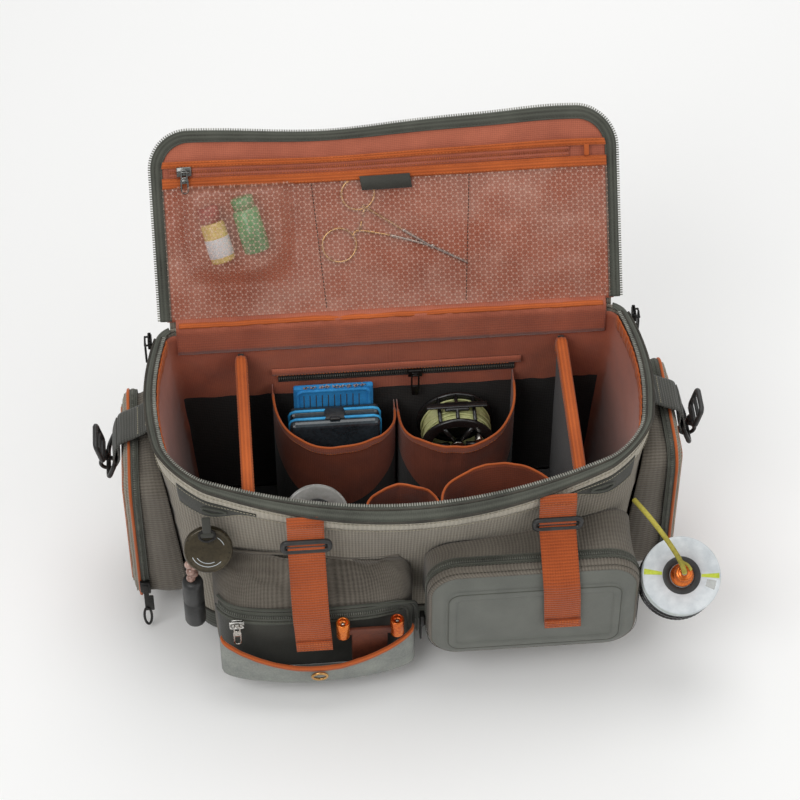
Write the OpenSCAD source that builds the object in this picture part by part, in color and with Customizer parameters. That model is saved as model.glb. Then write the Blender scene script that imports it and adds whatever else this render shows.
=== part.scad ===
// Soft-sided tackle bag, standing open, with its stowed tackle.
// Origin: centre of the base on the surface it stands on. +X right, +Y to the back, +Z up.

/* [Bag body] */
// Width of the bag at the base
base_w = 410; // [380:1:430]
// Width of the mouth at its back corners
mouth_w = 440; // [430:1:450]
// Front-to-back depth of the base
base_d = 180; // [170:1:186]
// Front-to-back depth of the mouth at its corners
mouth_d = 184; // [180:1:190]
// Height of the fabric wall
wall_h = 240; // [236:1:246]
// How far the open mouth slumps forward at the middle
front_slump = 61; // [45:1:64]
// How far each side of the mouth bows outward
side_bow = 16; // [8:1:18]
// How far the front of the mouth sags below its corners
front_sag = 8; // [0:0.5:10]
// Thickness of the padded wall
wall_t = 5; // [4:0.5:5]

/* [Lid] */
// Angle by which the open lid leans back from upright
lid_lean = 35; // [20:1:50]
// Length of the lid from its hinge to its front edge
lid_l = 184; // [178:1:186]
// Corner radius of the lid
lid_r = 36; // [25:1:45]

/* [Dividers] */
// Distance of the left divider from the middle
divider_left_x = 147; // [145:1:150]
// Distance of the right divider from the middle
divider_right_x = 164; // [163:1:168]
// Thickness of a padded divider
divider_t = 8; // [6:1:9]

/* [Front pockets] */
// Reach of the soft front pocket from the middle plane
pocket_reach = 160; // [156:1:162]
// Reach of the moulded pocket from the middle plane
pod_reach = 182; // [178:1:186]
// Width of the closing straps
strap_w = 34; // [30:1:38]

/* [Side pockets] */
// Distance of the side pocket panels from the middle
side_reach = 264; // [262:1:266]

/* [Tackle] */
// Outer radius of a tippet spool
spool_r = 37; // [34:1:38]
// Radius of the retractor case
retractor_r = 23; // [20:1:24]

/* [Hidden] */

gap = 0.3;
mid_y = -2;
base_t = 2.5;
floor_z = 8;
lining_t = 1.5;
lining_in = wall_t + gap;
inner_in = lining_in + lining_t;
front_r = 36;
back_r = 14;
tape_h = 5.4;
rim_z = wall_h + 0.2;
hinge_y = mid_y + mouth_d / 2;
hinge_z = wall_h + 7;
fabric_tan = [0.55, 0.52, 0.47];
terracotta = [0.67, 0.36, 0.27];
charcoal = [0.27, 0.28, 0.26];
orange_trim = [0.74, 0.36, 0.16];
pod_grey = [0.47, 0.49, 0.46];

function mix(a, b, t) = a + (b - a) * t;
function bend(x) = pow(max(0, cos(90 * min(1, x))), 0.85);
function turned(list) = [for (i = [len(list) - 1:-1:0]) list[i]];

// A closed solid through rings of points, each with as many points as the first. Its sides are
// cut along diagonals that rise the same way round, so that two skins side by side stay parallel.
module loft(rings) {
  n = len(rings[0]);
  last = (len(rings) - 1) * n;
  sides = [for (r = [0:len(rings) - 2]) let (falls = rings[r + 1][0].z < rings[r][0].z)
    for (i = [0:n - 1]) let (a = r * n + i, b = r * n + (i + 1) % n)
      each falls ? [[a, a + n, b], [b, a + n, b + n]] : [[a, a + n, b + n], [a, b + n, b]]];
  cap = [for (i = [0:floor(n / 2) - 1]) each concat(i + 1 < n - 1 - i ? [[i, i + 1, n - 1 - i]] : [],
    i + 1 < n - 2 - i ? [[i + 1, n - 2 - i, n - 1 - i]] : [])];
  top = [for (c = cap) [last + c[2], last + c[1], last + c[0]]];
  polyhedron([for (r = rings, p = r) p], concat(cap, top, sides), convexity = 10);
}

// A strip along a path, with one section that keeps its direction.
module strip(path, side, up) {
  inward = cross(side, up) * (path[1] - path[0]) < 0;
  loft([for (p = path) let (ring = [p, p + side, p + side + up, p + up])
    inward ? turned(ring) : ring]);
}

// A plate given by its outline, lying between two heights along Y.
module upright(y0, y1) {
  translate([0, y1, 0]) rotate([90, 0, 0]) linear_extrude(y1 - y0) children();
}

// Counter-clockwise rounded rectangle, with its straight sides divided.
function corner(cx, cy, r, start) =
  [for (i = [0:4]) [cx + r * cos(start + 22.5 * i), cy + r * sin(start + 22.5 * i)]];
function rounded(a, d, back, front, cuts) =
  let (c = [corner(a - back, d - back, back, 0), corner(back - a, d - back, back, 90),
    corner(front - a, front - d, front, 180), corner(a - front, front - d, front, 270)])
  [for (k = [0:3]) let (p = c[k][4], q = c[(k + 1) % 4][0])
    each concat(c[k], [for (i = [1:cuts]) mix(p, q, i / (cuts + 1))])];

// The wall of the bag: level t runs from 0 at the base to 1 at the mouth.
function half_w(t) = mix(base_w, mouth_w, t) / 2;
function half_d(t) = mix(base_d, mouth_d, t) / 2;
function slump(x, t) = front_slump * pow(t, 1.2) * bend(abs(x) / half_w(t));
function bow(y, t) = side_bow * t * bend(abs(y) / half_d(t));
function wall_pt(p, t, z) =
  let (front = pow(max(0, -p.y / half_d(t)), 1.5))
  [p.x + sign(p.x) * bow(p.y, t), p.y + mid_y - slump(p.x, t) * front,
    z - front_sag * pow(t, 3) * front * bend(abs(p.x) / half_w(t))];
function wall_ring(t, inset, z) =
  [for (p = rounded(half_w(t) - inset, half_d(t) - inset, back_r - inset, front_r - inset, 7))
    wall_pt(p, t, z)];
function wall_y(x, z) = let (t = z / wall_h) mid_y - half_d(t) - slump(x, t);
function wall_x(y, z) = let (t = z / wall_h) half_w(t) + bow(y - mid_y, t);

// Rings from a floor up to the mouth. The level is counted from the inside floor of the shell, so
// that the lining lies parallel to the wall.
inside_z = floor_z - 2.2;
function vessel_rings(inset, low) = [for (i = [0:5]) let (z = mix(low, wall_h, i / 5))
  wall_ring((z - inside_z) / (wall_h - inside_z), inset, z)];

module body_shell() {
  outside = [for (i = [0:5]) wall_ring(i / 5, 0, mix(base_t + 0.2, wall_h, i / 5))];
  color(fabric_tan) loft(concat(outside, turned(vessel_rings(wall_t, inside_z))));
}

module lining() {
  color(terracotta) loft(concat(vessel_rings(lining_in, floor_z),
    turned(vessel_rings(inner_in, floor_z + lining_t))));
}

module base_panel() {
  color(charcoal) translate([0, mid_y]) linear_extrude(base_t)
    polygon(rounded(base_w / 2 - 1, base_d / 2 - 1, back_r - 1, front_r - 1, 1));
}

module base_board() {
  color("black") translate([0, mid_y, floor_z - 2]) linear_extrude(1.8)
    polygon(rounded(base_w / 2 - 12, base_d / 2 - 12, 6, 24, 1));
}

// Points of the mouth from one hinge corner round the front to the other.
function mouth_run(inset, z) =
  let (ring = wall_ring(1, inset, z)) [for (i = [14:50]) ring[i % len(ring)]];

module rim_zip() {
  outer = mouth_run(-2, rim_z);
  inner = mouth_run(inner_in, rim_z);
  rise = [0, 0, tape_h];
  color(charcoal) loft([for (i = [0:len(outer) - 1])
    [outer[i], inner[i], inner[i] + rise, outer[i] + rise]]);
}

// Gathered binding inside each end of the mouth.
module rim_binding() {
  color(orange_trim) for (s = [0, 1]) mirror([s, 0, 0])
    strip([for (y = [-60:20:60]) [wall_x(y, wall_h - 16) - inner_in - 4, y, wall_h - 15]],
      [3, 0, 0], [0, 0, 14]);
}

module hinge_binding() {
  color(orange_trim) translate([-202, hinge_y - 7.5, rim_z]) cube([404, 6, tape_h]);
}

back_in = hinge_y - inner_in - 1.5;

module rear_zip() {
  color(charcoal) translate([-112, back_in - 1.4, 166]) cube([232, 1.4, 12]);
}

// A sewn-on pocket, open at the top: D-shaped in plan with its flat side on a wall.
// Each level is [height, flat side, reach]; the two ends of the mouth stand at lift0 and lift1.
function d_ring(x0, x1, flat, reach, z, t, lift0, lift1) =
  [for (i = [0:20]) let (u = i / 20, a = 180 + 180 * u)
    [mix(x0, x1, (1 - cos(180 * u)) / 2), flat - reach * sqrt(abs(sin(a))),
      z + t * mix(lift0, lift1, u) * pow(abs(cos(180 * u)), 2)]];
module sewn_pocket(x0, x1, low, high, lift0, lift1) {
  w = 2;
  outside = [for (t = [0, 0.5, 1]) d_ring(x0, x1, mix(low.y, high.y, t), mix(low.z, high.z, t),
    mix(low.x, high.x, t), t, lift0, lift1)];
  inside = [for (t = [1, 0.5, 0]) d_ring(x0 + w, x1 - w, mix(low.y, high.y, t) - w,
    mix(low.z, high.z, t) - 2 * w, mix(low.x + w, high.x, t), t, lift0, lift1)];
  loft(concat(outside, inside));
}

module rear_cup_left() {
  color(terracotta) sewn_pocket(-118, 1, [14, back_in - 1, 60], [136, back_in - 1.6, 62], 28, -4);
}

module rear_cup_right() {
  color(terracotta) sewn_pocket(4, 118, [14, back_in - 1, 60], [138, back_in - 1.6, 72], -6, 28);
}

// The inner pockets hang on the front wall, so they are turned to face the back.
module front_sewn(x0, x1, reach, top) {
  mirror([0, 1, 0]) sewn_pocket(x0, x1, [100, 94, 26], [top, 106, reach], -14, -14);
}

module inner_pocket_left() { color(terracotta) front_sewn(-38, 30, 22, 196); }
module inner_pocket_right() { color(terracotta) front_sewn(33, 142, 42, 192); }

module corner_tabs() {
  color(charcoal) for (s = [0, 1]) mirror([s, 0, 0])
    strip([for (x = [152, 168, 184, 200]) [x, wall_y(x, 224) - 3.6, 224 - (x - 152) / 3]],
      [0, 2, 0], [0, 2.4, -20]);
}

// Closing straps: a sewn loop, a bar buckle and the strap that hangs from it. The part of
// each strap nearest the middle stands off the wall most, so it sets the depth of the rest.
strap_z = 200;
strap_left_x = -114;
strap_right_x = 118;
function near_mid(x) = x < 0 ? x + strap_w + 5 : x - 5;
function bar_y(x) = wall_y(near_mid(x), 224) - 8;
module closing_strap(x, hang) {
  color(orange_trim) strip([[x, wall_y(near_mid(x), 230) - 3, 230], [x, bar_y(x) + 1, strap_z + 9]],
    [strap_w, 0, 0], [0, 1.6, 0]);
  color(orange_trim) strip(concat([[x, bar_y(x) - 3, strap_z - 4]], [for (p = hang) [x, p.x, p.y]]),
    [strap_w, 0, 0], [0, 1.6, 0]);
}

module strap_left() { closing_strap(strap_left_x, [[-pocket_reach - 13, 128], [-pocket_reach - 16, 74]]); }
module strap_right() {
  closing_strap(strap_right_x, [[3 - pod_reach, 164], [-pod_reach - 3.6, 146], [-pod_reach - 4, 100]]);
}

module strap_bars() {
  color(charcoal) for (x = [strap_left_x, strap_right_x])
    translate([x - 5, bar_y(x) - 4, strap_z - 3.6]) difference() {
      cube([strap_w + 10, 7, 12]);
      translate([4, -1, 3.6]) cube([strap_w + 2, 9, 1.6]);
      translate([4, -1, 7]) cube([strap_w + 2, 9, 1.8]);
    }
}

// Counter-clockwise rounded outline of a front pocket, seen from the front.
function front_outline(x0, x1, z0, z1, r, inset) =
  [for (p = rounded((x1 - x0) / 2 - inset, (z1 - z0) / 2 - inset, r, r, 3))
    [p.x + (x0 + x1) / 2, p.y + (z0 + z1) / 2]];
function at_y(outline, y) = [for (p = outline) [p.x, y, p.y]];

// Level by level round a block that is sewn to a wall: its back follows the wall, and its face
// swells to the reach. A level is [height, inset of both ends, reach].
function swell(a) = pow(abs(sin(a)), 0.5);
function along(a, ends, inset) =
  mix(ends[0] + inset, ends[1] - inset, (1 - sign(cos(a)) * pow(abs(cos(a)), 0.5)) / 2);
function front_ring(ends, level) =
  let (ring = [for (a = [0:12:180]) let (x = along(a, ends, level[1]),
    back = wall_y(x, level[0]) - 0.9) [[x, mix(back, min(-level[2], back - 3), swell(a)), level[0]],
    [x, back, level[0]]]])
  concat([for (r = ring) r[0]], [for (i = [len(ring) - 2:-1:1]) ring[i][1]]);
function side_ring(ends, level) =
  let (ring = [for (a = [0:12:180]) let (y = along(a, ends, level[1]),
    back = wall_x(y, level[0]) + 0.9) [[mix(back, level[2], swell(a)), y, level[0]],
    [back, y, level[0]]]])
  concat([for (r = ring) r[0]], [for (i = [len(ring) - 2:-1:1]) ring[i][1]]);
function arc_levels(low, high, r, reach) = concat(
  [for (a = [90:-22.5:0]) [low + r * (1 - sin(a)), r * (1 - cos(a)), reach]],
  [for (u = [1:4]) [mix(low + r, high - r, u / 5), 0, reach]],
  [for (a = [0:22.5:90]) [high - r * (1 - sin(a)), r * (1 - cos(a)), reach]]);

pocket_x = [-186, 3];
module front_pocket() {
  levels = [[22, 10, 8], [26, 4, 2], [34, 0, 0], [60, 0, 0], [86, 0, 0], [112, 0, 0], [118, 1, 3],
    [128, 3, 14], [137, 7, 25], [146, 14, 60]];
  color(fabric_tan) loft([for (l = levels)
    front_ring(pocket_x, [l[0], l[1], pocket_reach - l[2]])]);
}

module pocket_zip() {
  color(charcoal) upright(-pocket_reach - 2.4, -pocket_reach - 0.3) difference() {
    polygon(front_outline(pocket_x[0], pocket_x[1], 26, 114, 12, 4));
    polygon(front_outline(pocket_x[0], pocket_x[1], 26, 114, 6, 15));
    translate([-200, 0]) square([185, 92]);
  }
}

// Open slip pocket on the face of the front pocket, with a sagging lip.
module slip_pocket() {
  w = 2;
  back = -pocket_reach - 3;
  path = [for (i = [0:16]) let (u = i / 16, s = sin(180 * u))
    [mix(pocket_x[0] + 6, pocket_x[1] - 2, u), 24 * sqrt(abs(s)), 82 - 22 * s]];
  color(pod_grey) {
    loft([for (p = path) [[p.x, back - p.y - w, 28], [p.x, back - p.y, 28],
      [p.x, back - p.y, p.z], [p.x, back - p.y - w, p.z]]]);
    translate([0, 0, 28]) linear_extrude(w) polygon(concat([for (p = path) [p.x, back - p.y - 0.5]],
      [[pocket_x[1] - 2, back + 0.6], [pocket_x[0] + 6, back + 0.6]]));
  }
}

pod_x = [14, 212];
pod_z = [48, 166];
function pod_ring(r, inset) = front_outline(pod_x[0], pod_x[1], pod_z[0], pod_z[1], r, inset);
zip_y = 22 - pod_reach;
module pod_gusset() {
  color(fabric_tan) loft([for (l = arc_levels(pod_z[0], pod_z[1], 30, -zip_y - 9)) front_ring(pod_x, l)]);
  color(fabric_tan) upright(zip_y, zip_y + 8.7) polygon(pod_ring(26, 4));
}

module pod_zip() {
  color(charcoal) upright(zip_y + 0.3, zip_y + 8.2) difference() {
    polygon(pod_ring(30, -0.5));
    polygon(pod_ring(26, 3.6));
  }
}

module pod_shell() {
  color(pod_grey) loft([at_y(pod_ring(30, 0), zip_y - 0.2), at_y(pod_ring(30, 0), zip_y - 8),
    at_y(pod_ring(28, 4), zip_y - 15), at_y(pod_ring(24, 14), -pod_reach + 2),
    at_y(pod_ring(18, 24), -pod_reach)]);
}

// Side pockets, drawn on the right and mirrored for the left.
side_y = [-76, 60];
side_z = [32, 204];
function side_outline(r, inset) = [for (p = rounded((side_y[1] - side_y[0]) / 2 - inset,
  (side_z[1] - side_z[0]) / 2 - inset, r, r, 3))
  [p.x + (side_y[0] + side_y[1]) / 2, p.y + (side_z[0] + side_z[1]) / 2]];
function at_x(outline, x) = [for (p = outline) [x, p.x, p.y]];
band_x = side_reach - 16;
module side_pocket() {
  color(fabric_tan) loft([for (l = arc_levels(side_z[0], side_z[1], 22, band_x)) side_ring(side_y, l)]);
  color(fabric_tan) loft([at_x(side_outline(18, 4), band_x + 0.3),
    at_x(side_outline(18, 4), band_x + 8), at_x(side_outline(22, 0), band_x + 8.4),
    at_x(side_outline(20, 2), side_reach - 3), at_x(side_outline(14, 10), side_reach)]);
}

module side_pocket_left() { mirror([1, 0, 0]) side_pocket(); }
module side_pocket_right() { side_pocket(); }

module side_zips() {
  color(charcoal) for (s = [0, 1]) mirror([s, 0, 0]) translate([band_x + 0.8, 0, 0])
    rotate([90, 0, 90]) linear_extrude(6.8) difference() {
      polygon(side_outline(22, -0.5));
      polygon(side_outline(18, 3.6));
    }
}

// Webbing tabs that carry the shoulder strap rings.
tab_y = [-24, 14];
ring_x = side_reach + 7;
ring_z = 182;
module web_tabs() {
  color(charcoal) for (s = [0, 1]) mirror([s, 0, 0])
    strip([[wall_x(-5, 230) + 3.2, tab_y[0], 234], [wall_x(-5, 230) + 4, tab_y[0], 222],
      [side_reach + 1, tab_y[0], 208], [side_reach + 1.2, tab_y[0], ring_z - 8]],
      [0, tab_y[1] - tab_y[0], 0], [1.8, 0, 0]);
}

hook_x = ring_x + 7.7;
hook_z = ring_z - 21.1;
module side_rings() {
  color([0.2, 0.2, 0.21]) for (s = [0, 1]) mirror([s, 0, 0])
    translate([ring_x, -5, ring_z]) rotate([0, 70, 0]) difference() {
      translate([-2.2, -22, -2.2]) cube([27, 44, 4.4]);
      translate([2.2, -17.6, -5]) cube([18, 35.2, 10]);
    }
}

// Snap hook: an eye round the ring's outer bar, and a body that carries a webbing slot.
module snap_hook() {
  color([0.16, 0.16, 0.17]) translate([hook_x, -5, hook_z]) rotate([0, 13, 0]) {
    rotate([90, 0, 0]) rotate_extrude($fn = 48) translate([7.2, 0]) circle(r = 2.3, $fn = 24);
    translate([0, 0, 9]) cylinder(h = 8, r = 3.6, $fn = 32);
    translate([-3, -16, 16]) difference() {
      cube([6, 32, 28]);
      translate([-1, 3, 8]) cube([8, 26, 5]);
      translate([-1, 3, 17]) cube([8, 26, 6]);
    }
  }
}

module hook_left() { mirror([1, 0, 0]) snap_hook(); }
module hook_right() { snap_hook(); }

// The lid is drawn standing on its hinge line, inside facing -Y, then leaned back.
module on_lid() {
  translate([0, hinge_y, hinge_z]) rotate([-lid_lean, 0, 0]) children();
}
function lid_outline(inset, low) = let (a = mouth_w / 2 - inset, top = lid_l - inset, r = lid_r - inset)
  concat([[-a, low], [a, low]],
    [for (i = [0:8]) [a - r + r * cos(11.25 * i), top - r + r * sin(11.25 * i)]],
    [for (i = [8:-1:0]) [r - a - r * cos(11.25 * i), top - r + r * sin(11.25 * i)]]);
lid_low = 3;

module lid_panel() {
  color(fabric_tan) on_lid() upright(2.2, 6.4) polygon(lid_outline(4, lid_low));
}

module lid_lining() {
  color(terracotta) on_lid() upright(0.3, 2) polygon(lid_outline(4, lid_low));
}

module lid_zip() {
  color(charcoal) on_lid() upright(0, 5.4) difference() {
    polygon(lid_outline(0, lid_low));
    polygon(lid_outline(3.7, -1));
  }
}

window_x = [-202, 202];
window_z = [12, 130];
bump_x = [-192, -100];
bump_z = [42, 124];
module bump(inset, face) {
  hull() {
    translate([bump_x[0] + inset, -3 + face, bump_z[0] + inset])
      cube([bump_x[1] - bump_x[0] - 2 * inset, 1, bump_z[1] - bump_z[0] - 2 * inset]);
    translate([bump_x[0] + inset + 7, -25 + face, bump_z[0] + inset + 5])
      cube([bump_x[1] - bump_x[0] - 2 * inset - 14, 1, bump_z[1] - bump_z[0] - 2 * inset - 11]);
  }
}

module lid_window() {
  color([0.69, 0.51, 0.44, 0.6]) on_lid() {
    upright(-3.6, -2.6) difference() {
      translate([window_x[0], window_z[0]])
        square([window_x[1] - window_x[0], window_z[1] - window_z[0]]);
      translate([bump_x[0] + 1, bump_z[0] + 1])
        square([bump_x[1] - bump_x[0] - 2, bump_z[1] - bump_z[0] - 2]);
    }
    difference() {
      bump(0, 0);
      bump(1.2, 1.2);
    }
  }
}

lid_zip_z = 147;
module lid_pocket_zip() {
  color(orange_trim) on_lid() translate([-198, -1.4, lid_zip_z - 8]) cube([394, 1.4, 16]);
}

// A flat bar between two points of a drawing.
module bar(p, q, w) {
  d = q - p;
  translate(p) rotate(atan2(d.y, d.x)) translate([0, -w / 2]) square([norm(d), w]);
}

module forceps() {
  pivot = [6, 84];
  color("goldenrod") on_lid() upright(-2.2, -0.2) {
    for (eye = [[-47, 68], [-26, 112]]) difference() {
      union() {
        translate(eye) circle(r = 14, $fn = 48);
        bar(eye, pivot, 5);
      }
      translate(eye) circle(r = 10.5, $fn = 48);
    }
    bar(pivot, [76, 43], 5);
    translate(pivot) circle(r = 5, $fn = 32);
  }
}

// A dressing bottle that lies in the lid pocket, cap uppermost.
module bottle(x, z, r, body_l, cap_l, tilt, tint, cap_tint) {
  on_lid() translate([x, -r - 1, z]) rotate([0, -tilt, 0]) {
    color(tint) translate([0, 0, -body_l / 2]) cylinder(h = body_l, r = r, $fn = 48);
    color(cap_tint) translate([0, 0, body_l / 2 - 0.01]) cylinder(h = cap_l, r = r - 2, $fn = 48);
  }
}

module bottle_yellow() { bottle(-163, 70, 10.5, 34, 13, 12, [0.84, 0.76, 0.43], [0.6, 0.15, 0.1]); }
module bottle_green() { bottle(-128, 78, 11, 40, 10, 14, [0.35, 0.63, 0.43], [0.25, 0.5, 0.35]); }

// Zip sliders stand with their back at y = 0 and carry a pin along X; a pull hangs on the pin.
pin_y = -6.8;
module slider(w, h) {
  translate([-w / 2, -4, -h / 2]) cube([w, 4, h]);
  for (x = [-6.2, 5]) translate([x, pin_y - 1.4, -1.6]) cube([1.2, 2.8 + 1.41, 3.2]);
  translate([-6, pin_y, 0]) rotate([0, 90, 0]) cylinder(h = 12, r = 1, $fn = 24);
}

module pull(l, w) {
  translate([-4.2, pin_y, 0]) rotate([0, 90, 0]) difference() {
    cylinder(h = 8.4, r = 2.4, $fn = 32);
    translate([0, 0, -1]) cylinder(h = 11, r = 1.3, $fn = 24);
  }
  translate([-w / 2, pin_y - 0.8, -l]) difference() {
    cube([w, 1.6, l - 1.8]);
    translate([w / 4, -1, 5]) cube([w / 2, 4, l / 3]);
  }
}

// The main zip has a slider at each end of its run, parked at the hinge corners.
main_at = [half_w(1) + 10.5, 74, wall_h + 3];
module at_main() { translate(main_at) rotate([0, 0, 90]) children(); }
module main_slider_right() { color([0.2, 0.2, 0.2]) at_main() slider(14, 9); }
module main_slider_left() { mirror([1, 0, 0]) main_slider_right(); }
module main_pull_right() { color([0.15, 0.15, 0.15]) at_main() pull(28, 9); }
module main_pull_left() { mirror([1, 0, 0]) main_pull_right(); }

module rear_slider() {
  color([0.2, 0.2, 0.2]) translate([22, back_in - 1.8, 172]) {
    translate([-7, -4, -4.5]) cube([14, 4, 9]);
    translate([-4, -5.6, -30]) cube([8, 1.8, 29]);
  }
}

module at_lid_slider() { on_lid() translate([-190, -1.7, lid_zip_z]) children(); }
module lid_slider() { color([0.5, 0.5, 0.5]) at_lid_slider() slider(14, 9); }
module lid_pull() { color([0.6, 0.6, 0.6]) at_lid_slider() pull(21, 8); }

module at_pocket_slider() { translate([-165, -pocket_reach - 2.7, 104.5]) children(); }
module pocket_slider() { color([0.7, 0.7, 0.7]) at_pocket_slider() slider(14, 9); }
module pocket_pull() { color([0.75, 0.75, 0.75]) at_pocket_slider() pull(25, 8); }

pod_slider_x = pod_x[0] - 4;
module pod_slider() {
  color([0.15, 0.15, 0.15]) translate([pod_slider_x, zip_y + 4, 84]) {
    translate([-2.5, -4.5, -7]) cube([5, 9, 14]);
    translate([-2.5, -2, -30]) cube([2, 8, 26]);
  }
}

side_slider_y = side_y[0] - 4;
module side_slider() {
  color([0.2, 0.2, 0.2]) translate([band_x + 4, side_slider_y, 62]) {
    translate([-5, -2.5, -7]) cube([10, 5, 14]);
    translate([-2, -3.5, -34]) cube([9, 2, 38]);
  }
}
module side_slider_left() { mirror([1, 0, 0]) side_slider(); }
module side_slider_right() { side_slider(); }

// Padded dividers that hook-and-loop tape holds between the front and back walls.
module divider(x) {
  color([0.15, 0.15, 0.15]) translate([x + divider_t / 2, 0, 0]) rotate([0, -90, 0])
    linear_extrude(divider_t)
      polygon([[11, -80], [11, 79], [206, 80], [213, 73], [202, -80], [196, -87]]);
}
module divider_left() { divider(-divider_left_x); }
module divider_right() { divider(divider_right_x); }

// Stowed tackle.
module fly_box() {
  color([0.2, 0.22, 0.24]) translate([-103, 38, 16.8]) cube([88, 27, 131]);
}

module fly_reel() {
  color([0.12, 0.12, 0.12]) translate([61, 71, 110]) rotate([90, 0, 0]) {
    cylinder(h = 4, r = 38, $fn = 72);
    cylinder(h = 37, r = 31, $fn = 72);
    translate([0, 0, 33]) cylinder(h = 4, r = 36, $fn = 72);
  }
}

module foam_strip() {
  color([0.12, 0.55, 0.84]) translate([-98, 66, 16.8]) cube([78, 6, 154]);
}

module clear_spool() {
  color([0.8, 0.8, 0.78]) translate([-84, -76, 145]) rotate([48, 0, 0]) {
    cylinder(h = 10, r = 20, center = true, $fn = 64);
    for (z = [-5, 3.4]) translate([0, 0, z]) cylinder(h = 1.6, r = 32, $fn = 64);
  }
}

module tool_bar() {
  y = -pocket_reach - 10.4;
  color(orange_trim) for (x = [-66, -15]) translate([x, y, 84]) cylinder(h = 21, r = 6.5, $fn = 48);
  color([0.4, 0.1, 0.05]) translate([-64, y - 2, 86]) cube([47, 4, 7]);
  color([0.4, 0.1, 0.05]) translate([-58, y - 2, 40]) cube([34, 4, 46.5]);
}

// Retractor: a case hung under the corner tab, with its tube tool below.
retractor_at = [-187, -127, 172];
module retractor() {
  color([0.33, 0.3, 0.2]) translate(retractor_at) rotate([62, 0, 0])
    cylinder(h = 11, r = retractor_r, center = true, $fn = 72);
  color([0.1, 0.1, 0.1]) translate(retractor_at + [-4, -1, 18]) cube([8, 5, 26]);
  color([0.6, 0.5, 0.4]) translate(retractor_at + [-17, -5, -38]) cylinder(h = 25, r = 6, $fn = 32);
  color([0.1, 0.1, 0.1]) translate(retractor_at + [-17, -5, -100]) cylinder(h = 63, r = 10, $fn = 48);
}

// Tippet spools stacked on a post that leans back onto the corner of the bag.
spool_at = [252, -165, 137];
module on_post() { translate(spool_at) rotate([30, 0, 0]) children(); }
module one_spool(z) {
  translate([0, 0, z]) difference() {
    union() {
      cylinder(h = 1.8, r = spool_r, $fn = 96);
      cylinder(h = 13, r = spool_r - 6, $fn = 96);
      translate([0, 0, 11.2]) cylinder(h = 1.8, r = spool_r, $fn = 96);
    }
    translate([0, 0, -1]) cylinder(h = 16, r = 6.5, $fn = 48);
  }
}
module tippet_spool() { color([0.75, 0.78, 0.8]) on_post() one_spool(-13); }
module lower_spools() {
  color([0.12, 0.12, 0.12]) on_post() {
    one_spool(-27);
    one_spool(-40);
  }
}

function tube_ring(p, dir, r) =
  let (f = dir / norm(dir), s = cross(f, [1, 0, 0]) / norm(cross(f, [1, 0, 0])), u = cross(f, s))
  [for (i = [0:9]) p + r * (s * cos(36 * i) + u * sin(36 * i))];
module spool_post() {
  cord = [[214, -112, 183], [224, -130, 182], [236, -150, 176], [246, -166, 167], [252, -175, 156]];
  color([0.75, 0.38, 0.15]) on_post() {
    translate([0, 0, 0.4]) cylinder(h = 3, r = 11, $fn = 48);
    translate([0, 0, 3]) cylinder(h = 15, r = 8, $fn = 48);
    translate([0, 0, -44]) cylinder(h = 45, r = 5.8, $fn = 48);
    translate([0, 0, -44]) cylinder(h = 3.4, r = 11, $fn = 48);
  }
  color([0.7, 0.68, 0.3]) loft([for (i = [0:4])
    tube_ring(cord[i], cord[min(i + 1, 4)] - cord[max(i - 1, 0)], 2.5)]);
}

body_shell();
lining();
base_panel();
base_board();
rim_zip();
rim_binding();
hinge_binding();
rear_zip();
rear_cup_left();
rear_cup_right();
inner_pocket_left();
inner_pocket_right();
corner_tabs();
strap_left();
strap_right();
strap_bars();
front_pocket();
pocket_zip();
slip_pocket();
pod_gusset();
pod_zip();
pod_shell();
side_pocket_left();
side_pocket_right();
side_zips();
web_tabs();
side_rings();
lid_panel();
lid_lining();
lid_zip();
lid_window();
lid_pocket_zip();
forceps();
bottle_yellow();
bottle_green();
main_slider_left();
main_slider_right();
main_pull_left();
main_pull_right();
rear_slider();
lid_slider();
lid_pull();
pocket_slider();
pocket_pull();
pod_slider();
side_slider_left();
side_slider_right();
divider_left();
divider_right();
hook_left();
hook_right();
fly_box();
fly_reel();
foam_strip();
clear_spool();
tool_bar();
retractor();
tippet_spool();
lower_spools();
spool_post();
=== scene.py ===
import math
import random

import bmesh
import bpy
from mathutils import Matrix, Vector, noise


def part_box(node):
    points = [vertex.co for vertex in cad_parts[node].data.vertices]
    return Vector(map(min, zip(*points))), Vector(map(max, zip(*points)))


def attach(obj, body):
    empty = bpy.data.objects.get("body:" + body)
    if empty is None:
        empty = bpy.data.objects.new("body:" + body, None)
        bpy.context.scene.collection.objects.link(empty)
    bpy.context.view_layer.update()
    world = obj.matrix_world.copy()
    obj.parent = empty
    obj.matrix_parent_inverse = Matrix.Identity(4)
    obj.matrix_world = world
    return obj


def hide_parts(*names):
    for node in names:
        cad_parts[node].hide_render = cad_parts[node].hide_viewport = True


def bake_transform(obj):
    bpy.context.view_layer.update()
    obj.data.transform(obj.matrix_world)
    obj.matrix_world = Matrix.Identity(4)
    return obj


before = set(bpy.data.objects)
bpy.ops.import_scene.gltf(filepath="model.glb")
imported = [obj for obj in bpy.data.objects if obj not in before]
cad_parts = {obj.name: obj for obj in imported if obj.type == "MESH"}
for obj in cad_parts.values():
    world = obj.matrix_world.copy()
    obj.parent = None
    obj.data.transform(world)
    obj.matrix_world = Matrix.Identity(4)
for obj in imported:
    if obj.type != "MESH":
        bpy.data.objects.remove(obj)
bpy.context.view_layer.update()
mm = 0.001
random.seed(7)


view = {"turn": -4.513, "height": 48.383, "distance": 2.6288, "target": (0.0027, 0.0208, 0.1972),
        "lens": 123.5}


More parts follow.
